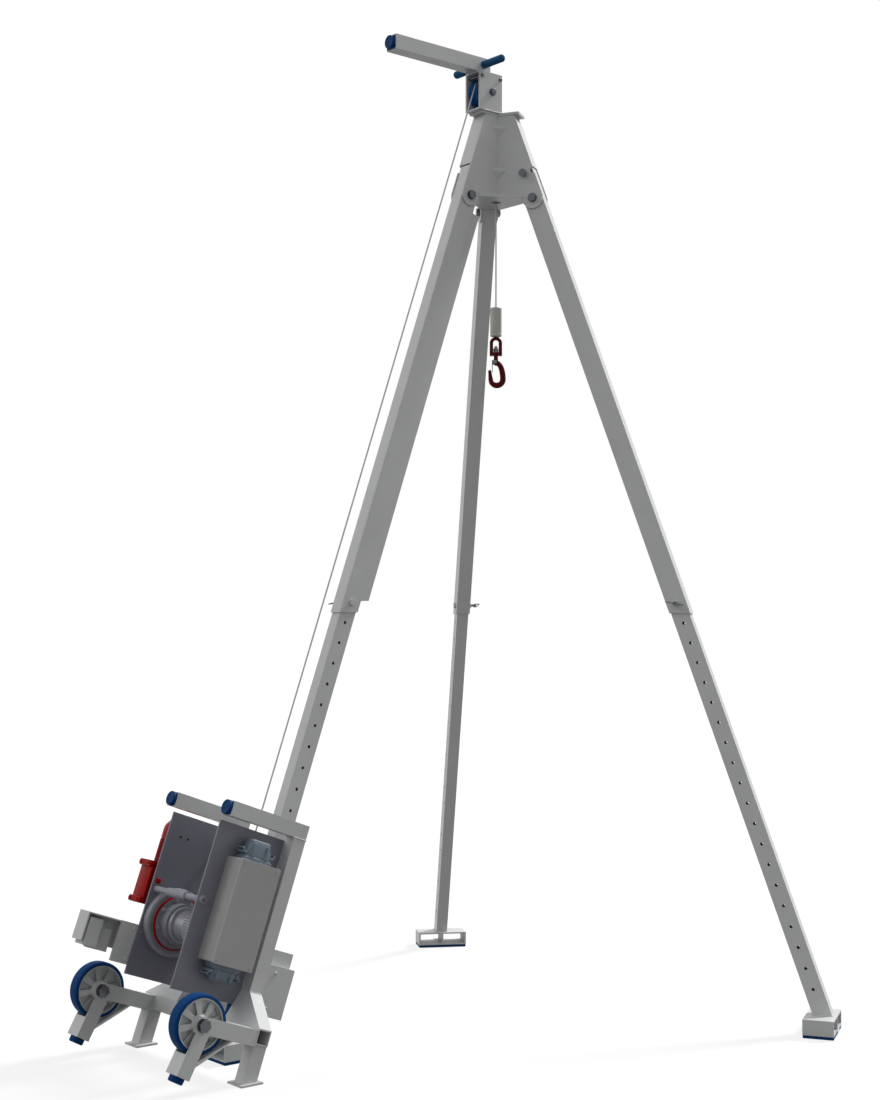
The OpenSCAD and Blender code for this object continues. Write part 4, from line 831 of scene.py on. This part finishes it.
# welds of the winch's frame: round the ends of its uprights, and where forks and rails meet other tubes
FRAME_SEAM_R = 1.8
frame_seams = Form(WINCH_LEG)
near_n, far_n, cross_n = UPRIGHT_N, UPRIGHT_N + TUBE_S, CROSS_N + TUBE_S
for side in (-1, 1):
    inner_u, outer_u = side * (UPRIGHT_U - TUBE_S / 2), side * (UPRIGHT_U + TUBE_S / 2)
    corners = ((near_n, inner_u), (far_n, inner_u), (far_n, outer_u), (near_n, outer_u), (near_n, inner_u))
    for w in (FRAME_TOP - TUBE_S, UPRIGHT_LOW):
        frame_seams.add(bead([(n, u, w) for n, u in corners], FRAME_SEAM_R))
    for fork_u in (side * WHEEL_U - FORK_W / 2, side * WHEEL_U + FORK_W / 2):
        weld = [(cross_n, fork_u, WHEEL_UP - TUBE_S / 2), (cross_n, fork_u, WHEEL_UP + TUBE_S / 2)]
        frame_seams.add(bead(weld, FRAME_SEAM_R))
    for rail_w in FRAME_RAILS:
        weld = [(far_n - 1, inner_u, rail_w + 3), (far_n - 1, inner_u, rail_w + TUBE_S - 3)]
        frame_seams.add(bead(weld, FRAME_SEAM_R))
piece("frame_seams", frame_seams, POWDER_COAT, "winch_lower_leg", smooth=60)


# Winch

screws = Form(WINCH_LEG)
for side in (-1, 1):
    for w in (SIDE_LOW + 18, SIDE_HIGH - 9):
        socket_screw(screws, (SIDE_BACK + 17, side * SIDE_OUT, w), side, 6, 4)
PAIR_N, PAIR_APART = 222, 24
for side in (-1, 1):
    socket_screw(screws, (PAIR_N + side * PAIR_APART / 2, -SIDE_U, SIDE_HIGH - 60), 1, 3.2, 2.2)
piece("side_plate_screws", screws, BLACK_STEEL, "winch_lower_leg")

painted_screws = Form(WINCH_LEG)
for w in (SIDE_LOW + 40, SIDE_LOW + 115):
    for n in (SIDE_FRONT - 40, SIDE_FRONT - 12):
        socket_screw(painted_screws, (n, -SIDE_U, w), 1, 4.2, 3)
piece("painted_plate_screws", painted_screws, DARK_COAT, "winch_lower_leg")

# red plug beside the spacer bar, and the red oil ring between the gear flange and its cover
ALONG_U = (0, 1, 0)
at_flange = pointing((DRUM_N, -SIDE_U, DRUM_W), ALONG_U)
at_flange_face = pointing((DRUM_N, GEAR_FLANGE_L - SIDE_U, DRUM_W), ALONG_U)
red_parts = Form(WINCH_LEG)
plug_profile = rounded([(0.4, -4), (8, -4), (8, 3), (6, 5.5), (0.4, 6)], 1.5)
red_parts.add(turned(plug_profile, 36), pointing((SIDE_FRONT - 15, -SIDE_U, DRUM_W + 95), ALONG_U))
oil_ring = [(69, 0), (73.5, 0), (73.5, 4.5), (72, 6), (69, 6)]
red_parts.add(turned(oil_ring, 96, ring=True), at_flange_face)
piece("red_ring_and_plug", red_parts, DRIVE_RED, "winch_lower_leg")

# gear flange with a rounded rim, a raised ring on its face and a circle of bolts
flange = Form(WINCH_LEG)
rim = [(76, 17), (78, 21.5), (84, 23.5), (90, 21.5), (93, 16), (93, 1), (76, 1)]
flange.add(turned(rounded(rim + rim[:1], 2.5)[:-1], 112, ring=True), at_flange)
face_ring = [(40, 5.8), (64, 5.8), (66, 7.4), (68.5, 7.4), (69, 5.8), (69, 4), (40, 4)]
flange.add(turned(face_ring, 96, ring=True), at_flange_face)
piece("gear_flange_rim", flange, GEAR_GREY, "winch_lower_leg", smooth=50)

FLANGE_BOLTS, BOLT_CIRCLE_R, BOLT_R = 8, 60, 6.4
bolts = Form(WINCH_LEG)
head = circle(BOLT_R, 6)
bolt_head = layered([(0, head), (3.4, head), (4.2, circle(BOLT_R - 1.2, 6))])
for k in range(FLANGE_BOLTS):
    a = 2 * math.pi * (k + 0.5) / FLANGE_BOLTS
    where = around(DRUM_N, DRUM_W, BOLT_CIRCLE_R, a, GEAR_FLANGE_L + 6 - SIDE_U)
    bolts.add(bolt_head, pointing(where, ALONG_U))
piece("gear_flange_bolts", bolts, GEAR_GREY, "winch_lower_leg")

# rounded rims on the drum's two cheeks
RIM_DEEP = 12
cheeks = Form(WINCH_LEG)
for low, high, r in ((DRUM_LOW - 12, DRUM_LOW, FLANGE_R - 3), (DRUM_HIGH, DRUM_HIGH + 5, FLANGE_R)):
    inner, outer, bottom, top = r - RIM_DEEP, r + 0.2, low - 0.3, high + 0.3
    ring = rounded([(inner, bottom), (outer, bottom), (outer, top), (inner, top)], 1.6)
    cheeks.add(turned(ring, 96, ring=True), pointing((DRUM_N, 0, DRUM_W), ALONG_U))
piece("drum_cheek_rims", cheeks, TURNED, "drum")

# motor: finned housing, end bell, cooling cowl and terminal box
MOTOR_U = -SIDE_OUT - 9 - MOTOR_R
MOTOR_LOW = DRUM_W + 84
motor = Form(WINCH_LEG)
axis = Matrix.Translation((MOTOR_N, MOTOR_U, MOTOR_LOW))
fins = star(MOTOR_R, 6, 40, 0.35)
motor.add(layered([(14, fins), (MOTOR_L - 62, fins)]), axis)
bell = [(0.5, 0), (MOTOR_R - 2, 0), (MOTOR_R, 3), (MOTOR_R, 12), (MOTOR_R - 4, 16), (0.5, 16)]
motor.add(turned(rounded(bell, 3), 72), axis)
COWL_LOW = MOTOR_L - 64
cowl = [
    (0.5, COWL_LOW), (MOTOR_R, COWL_LOW), (MOTOR_R, COWL_LOW + 40), (MOTOR_R - 15, MOTOR_L - 2),
    (MOTOR_R - 24, MOTOR_L), (0.5, MOTOR_L),
]
motor.add(turned(rounded(cowl, 9, 6), 96), axis)

# the terminal box stands off the motor's front, and a lug across each end stands out beyond its lid
BOX_TALL, BOX_WIDE, BOX_DEEP, LUG = 118, 62, 68, 17
LID_AT = 47
box_axis = pointing((MOTOR_N + MOTOR_R - 18, -SIDE_OUT - 47, DRUM_W + 85), (1, 0, 0))
lid = rectangle(BOX_TALL - 8, BOX_WIDE - 4, 6)
terminal_box = layered([
    (0, rectangle(BOX_TALL - 22, BOX_WIDE - 12, 6)),
    (LID_AT - 3, rectangle(BOX_TALL - 20, BOX_WIDE - 10, 6)),
    (LID_AT, lid),
    (BOX_DEEP - 12, lid),
    (BOX_DEEP - 10, rectangle(BOX_TALL - 12, BOX_WIDE - 8, 6)),
])
motor.add(terminal_box, box_axis)
lug_side = rectangle(LUG, BOX_WIDE, 5)
lug = layered([
    (LID_AT - 9, rectangle(LUG - 6, BOX_WIDE - 8, 4)),
    (LID_AT - 2, lug_side),
    (BOX_DEEP - 3, lug_side),
    (BOX_DEEP, rectangle(LUG - 5, BOX_WIDE - 5, 4)),
])
lug_at = (BOX_TALL - LUG) / 2
for end in (-1, 1):
    motor.add(lug, box_axis @ Matrix.Translation((end * lug_at, 0, 0)))
piece("drive_motor_casting", motor, DRIVE_RED, "winch_lower_leg", ["drive_motor"], edge=1.0, smooth=40)

CORNERS = ((-1, -1), (-1, 1), (1, -1), (1, 1))
motor_screws = Form(WINCH_LEG)
motor_screw = turned(rounded([(0.4, 0), (4, 0), (4, 2.4), (2.6, 3.2), (0.4, 3.2)], 0.8), 24)
for x, y in CORNERS:
    where = Matrix.Translation((x * lug_at, y * (BOX_WIDE / 2 - 11), BOX_DEEP - 0.5))
    motor_screws.add(motor_screw, box_axis @ where)
piece("terminal_box_screws", motor_screws, DRIVE_RED, "winch_lower_leg")

# control cabinet: a seal under the lid and four quarter-turn screws
cabinet_n, cabinet_w = BOX_N + BOX_W / 2, BOX_LOW + BOX_H / 2
to_cabinet = Matrix.Translation((cabinet_n, 0, cabinet_w)) @ Matrix.Rotation(-math.pi / 2, 4, "X")
seal_outline = rectangle(BOX_W + 0.6, BOX_H + 0.6, 4.5)
lid_u = SIDE_OUT + BOX_D
seal = Form(WINCH_LEG).add(layered([(lid_u - 1.6, seal_outline), (lid_u + 0.2, seal_outline)]), to_cabinet)
piece("cabinet_lid_seal", seal, SEAL, "winch_lower_leg")
LID_SCREW_IN = 9
lid_screws = Form(WINCH_LEG)
lid_screw = turned(rounded([(0.4, -1), (4.6, -1), (4.6, 0.5), (3.6, 1.0), (3.2, 0.4), (0.4, 0.3)], 0.4), 28)
for x, y in CORNERS:
    n, w = cabinet_n + x * (BOX_W / 2 - LID_SCREW_IN), cabinet_w + y * (BOX_H / 2 - LID_SCREW_IN)
    lid_screws.add(lid_screw, pointing((n, lid_u + LID_T, w), ALONG_U))
piece("cabinet_lid_screws", lid_screws, CABINET, "winch_lower_leg")

# connector hoods above and below the cabinet: a base, a gasket, a ribbed hood and two locking levers
hood = Form(WINCH_LEG)
levers = Form(WINCH_LEG)
gasket = Form(WINCH_LEG)
wide_base = rectangle(92, 44, 5)
hood_base = layered([(-1, wide_base), (8, wide_base), (10, rectangle(84, 42, 6)), (14, rectangle(82, 41, 6))])
gasket_outline = rectangle(79, 39, 6)
hood_gasket = layered([(13.6, gasket_outline), (15.6, gasket_outline)])
boss = turned(rounded([(0.5, -19), (4.5, -19), (4.5, 19), (0.5, 19)], 1), 28)
PIVOT_X, PIVOT_UP_W, RIB_X, RIB_Y = 42, 20, 22, 19.4
for up_way, low_w, tall in ((1, BOX_LOW + BOX_H, 58), (-1, BOX_LOW, 44)):
    base = Matrix.Translation((cabinet_n, SIDE_OUT + BOX_D / 2, low_w)) @ Matrix.Diagonal((1, 1, up_way, 1))
    hood.add(hood_base, base)
    gasket.add(hood_gasket, base)
    shell = layered([
        (15, rectangle(78, 40, 7)),
        (tall * 0.55, rectangle(76, 38, 8)),
        (tall * 0.72, rectangle(70, 34, 9)),
        (tall - 3, rectangle(66, 31, 9)),
        (tall, rectangle(60, 26, 8)),
    ])
    hood.add(shell, base)
    rib = layered([
        (0, rectangle(10, 6, 2)),
        (tall * 0.5, rectangle(10, 5, 2)),
        (tall * 0.62, rectangle(6, 3, 1)),
    ])
    for x, y in CORNERS:
        hood.add(rib, base @ Matrix.Translation((x * RIB_X, y * RIB_Y, 12)))
    for side in (-1, 1):
        levers.add(boss, base @ pointing((side * PIVOT_X, 0, PIVOT_UP_W), ALONG_U))
        for y in (-1, 1):
            bail = [(side * PIVOT_X, y * 17, PIVOT_UP_W), (side * 49, y * 17, 24), (side * 51, y * 15, 30)]
            levers.add(swept(evenly(bail, 2), lambda i, k: 1.8, 10), base)
        handle = [(side * 51, -16, 30), (side * 51, 16, 30)]
        levers.add(swept(evenly(handle, 4), lambda i, k: 2.2, 12), base)
piece("connector_hood_castings", hood, HOOD_GREY, "winch_lower_leg", ["connector_hoods"], edge=0.8)
piece("connector_levers", levers, HOOD_GREY, "winch_lower_leg")
piece("connector_gaskets", gasket, SEAL, "winch_lower_leg")

# nuts and washers on the ends of the spacer bar and the guide roller's axle
NUT_ACROSS, NUT_H = 19, 7
bar_nuts = Form(WINCH_LEG)
hexagon = circle(NUT_ACROSS / 2 / math.cos(math.pi / 6), 6)
nut = layered([(0, hexagon), (NUT_H, hexagon), (NUT_H + 1, [(x * 0.88, y * 0.88) for x, y in hexagon])])
washer = turned([(3, 0), (NUT_ACROSS * 0.7, 0), (NUT_ACROSS * 0.68, 1.4), (3, 1.4)], 36, ring=True)
for n, w in ((DRUM_N + 82, DRUM_W + 73), (ROLLER_N, ROLLER_W)):
    for side in (-1, 1):
        outside = pointing((n, side * SIDE_OUT, w), (0, side, 0))
        bar_nuts.add(nut, outside).add(washer, outside)
piece("cassette_nuts", bar_nuts, GEAR_GREY, "winch_lower_leg")

# screws of the outer bracket and of the clamp's housing, which stands behind the lower tube
CLAMP_BACK, CLAMP_SCREW_U, CLAMP_SCREWS_W = 60, 45, (160, 256)
bracket_screws = Form(WINCH_LEG)
for n in (SIDE_FRONT - 36, SIDE_FRONT + 8):
    for w in (SIDE_LOW + 36, SIDE_LOW + 119):
        socket_screw(bracket_screws, (n, -SIDE_OUT, w), -1, 5, 3.5)
for w in CLAMP_SCREWS_W:
    for side in (-1, 1):
        socket_screw(bracket_screws, (-LOWER_N / 2 - CLAMP_BACK, side * CLAMP_SCREW_U, w), side, 5, 3.5)
piece("bracket_screws", bracket_screws, POWDER_COAT, "winch_lower_leg")


# Camera and studio

scene = bpy.context.scene
CAMERA_AT = Vector((3.9727, -3.5296, 1.1823))
CAMERA_AZIMUTH, CAMERA_PITCH, CAMERA_ROLL = (math.radians(a) for a in (140.25, 2.377, 0.131))
ahead = Vector((
    math.cos(CAMERA_AZIMUTH) * math.cos(CAMERA_PITCH),
    math.sin(CAMERA_AZIMUTH) * math.cos(CAMERA_PITCH),
    math.sin(CAMERA_PITCH),
))
right = ahead.cross(Vector((0, 0, 1))).normalized()
up = right.cross(ahead)
camera_turn = Matrix((right, up, -ahead)).transposed() @ Matrix.Rotation(CAMERA_ROLL, 3, "Z")
camera = bpy.data.objects.new("camera", bpy.data.cameras.new("camera"))
scene.collection.objects.link(camera)
camera.matrix_world = Matrix.Translation(CAMERA_AT) @ camera_turn.to_4x4()
camera.data.sensor_fit = "VERTICAL"
camera.data.sensor_height = 36
camera.data.lens = 55.87
scene.camera = camera


def greater(tree, one, other):
    """The greater of two values."""
    return add_node(tree, "ShaderNodeMath", {"operation": "MAXIMUM"}, {0: one, 1: other}).outputs["Value"]


def seen_directly(tree):
    """1 for rays from the camera, a reflection or glass, and 0 for light that bounces."""
    path = add_node(tree, "ShaderNodeLightPath").outputs
    seen_or_mirrored = greater(tree, path["Is Camera Ray"], path["Is Glossy Ray"])
    return greater(tree, seen_or_mirrored, path["Is Transmission Ray"])


def sun(name, towards, energy, spread):
    """A soft distant lamp, from its direction, its strength and its width in degrees."""
    light = bpy.data.lights.new(name, "SUN")
    light.energy = energy
    light.angle = math.radians(spread)
    thing = bpy.data.objects.new(name, light)
    scene.collection.objects.link(thing)
    thing.rotation_euler = Vector(towards).to_track_quat("Z", "Y").to_euler()


sun("key_sun", (0.06, 0.70, 0.71), 3.4, 14)
sun("fill_sun", (-0.45, -0.70, 0.55), 0.62, 30)

# white where it is seen, and half as bright as a light
world = bpy.data.worlds.new("studio")
world.use_nodes = True
scene.world = world
sky = world.node_tree
sky.nodes.clear()
strength = mapped(sky, seen_directly(sky), (0, 1), (0.50, 1.0))
backdrop = add_node(sky, "ShaderNodeBackground", {"Color": linear("#ffffff")}, {"Strength": strength})
add_node(sky, "ShaderNodeOutputWorld", {}, {"Surface": backdrop.outputs["Background"]})

# pale floor: white where it is seen, a grey card for the light that bounces, and it keeps a soft shadow
FLOOR_REACH, FLOOR_Z, GLOW = 60, -0.0005, 0.8
floor_finish = bpy.data.materials.new("pale_floor")
floor_finish.use_nodes = True
card = floor_finish.node_tree
card.nodes.clear()
seen = seen_directly(card)
tint_colours = {"data_type": "RGBA", MIX_A: linear("#646464"), MIX_B: linear("#f4f4f4")}
tint = add_node(card, "ShaderNodeMix", tint_colours, {"Factor": seen})
matt = add_node(card, "ShaderNodeBsdfDiffuse", {}, {"Color": tint.outputs[MIX_RESULT]})
glow = add_node(card, "ShaderNodeEmission", {"Color": linear("#ffffff"), "Strength": 1.0})
share = mapped(card, seen, (0, 1), (0.0, GLOW))
both = add_node(
    card, "ShaderNodeMixShader", {}, {0: share, 1: matt.outputs["BSDF"], 2: glow.outputs["Emission"]}
)
add_node(card, "ShaderNodeOutputMaterial", {}, {"Surface": both.outputs["Shader"]})
floor_mesh = bpy.data.meshes.new("floor")
floor_corners = [(x * FLOOR_REACH, y * FLOOR_REACH, FLOOR_Z) for x, y in ((-1, -1), (1, -1), (1, 1), (-1, 1))]
floor_mesh.from_pydata(floor_corners, [], [(0, 1, 2, 3)])
floor_mesh.materials.append(floor_finish)
floor = bpy.data.objects.new("floor", floor_mesh)
scene.collection.objects.link(floor)

scene.view_settings.view_transform = "Standard"
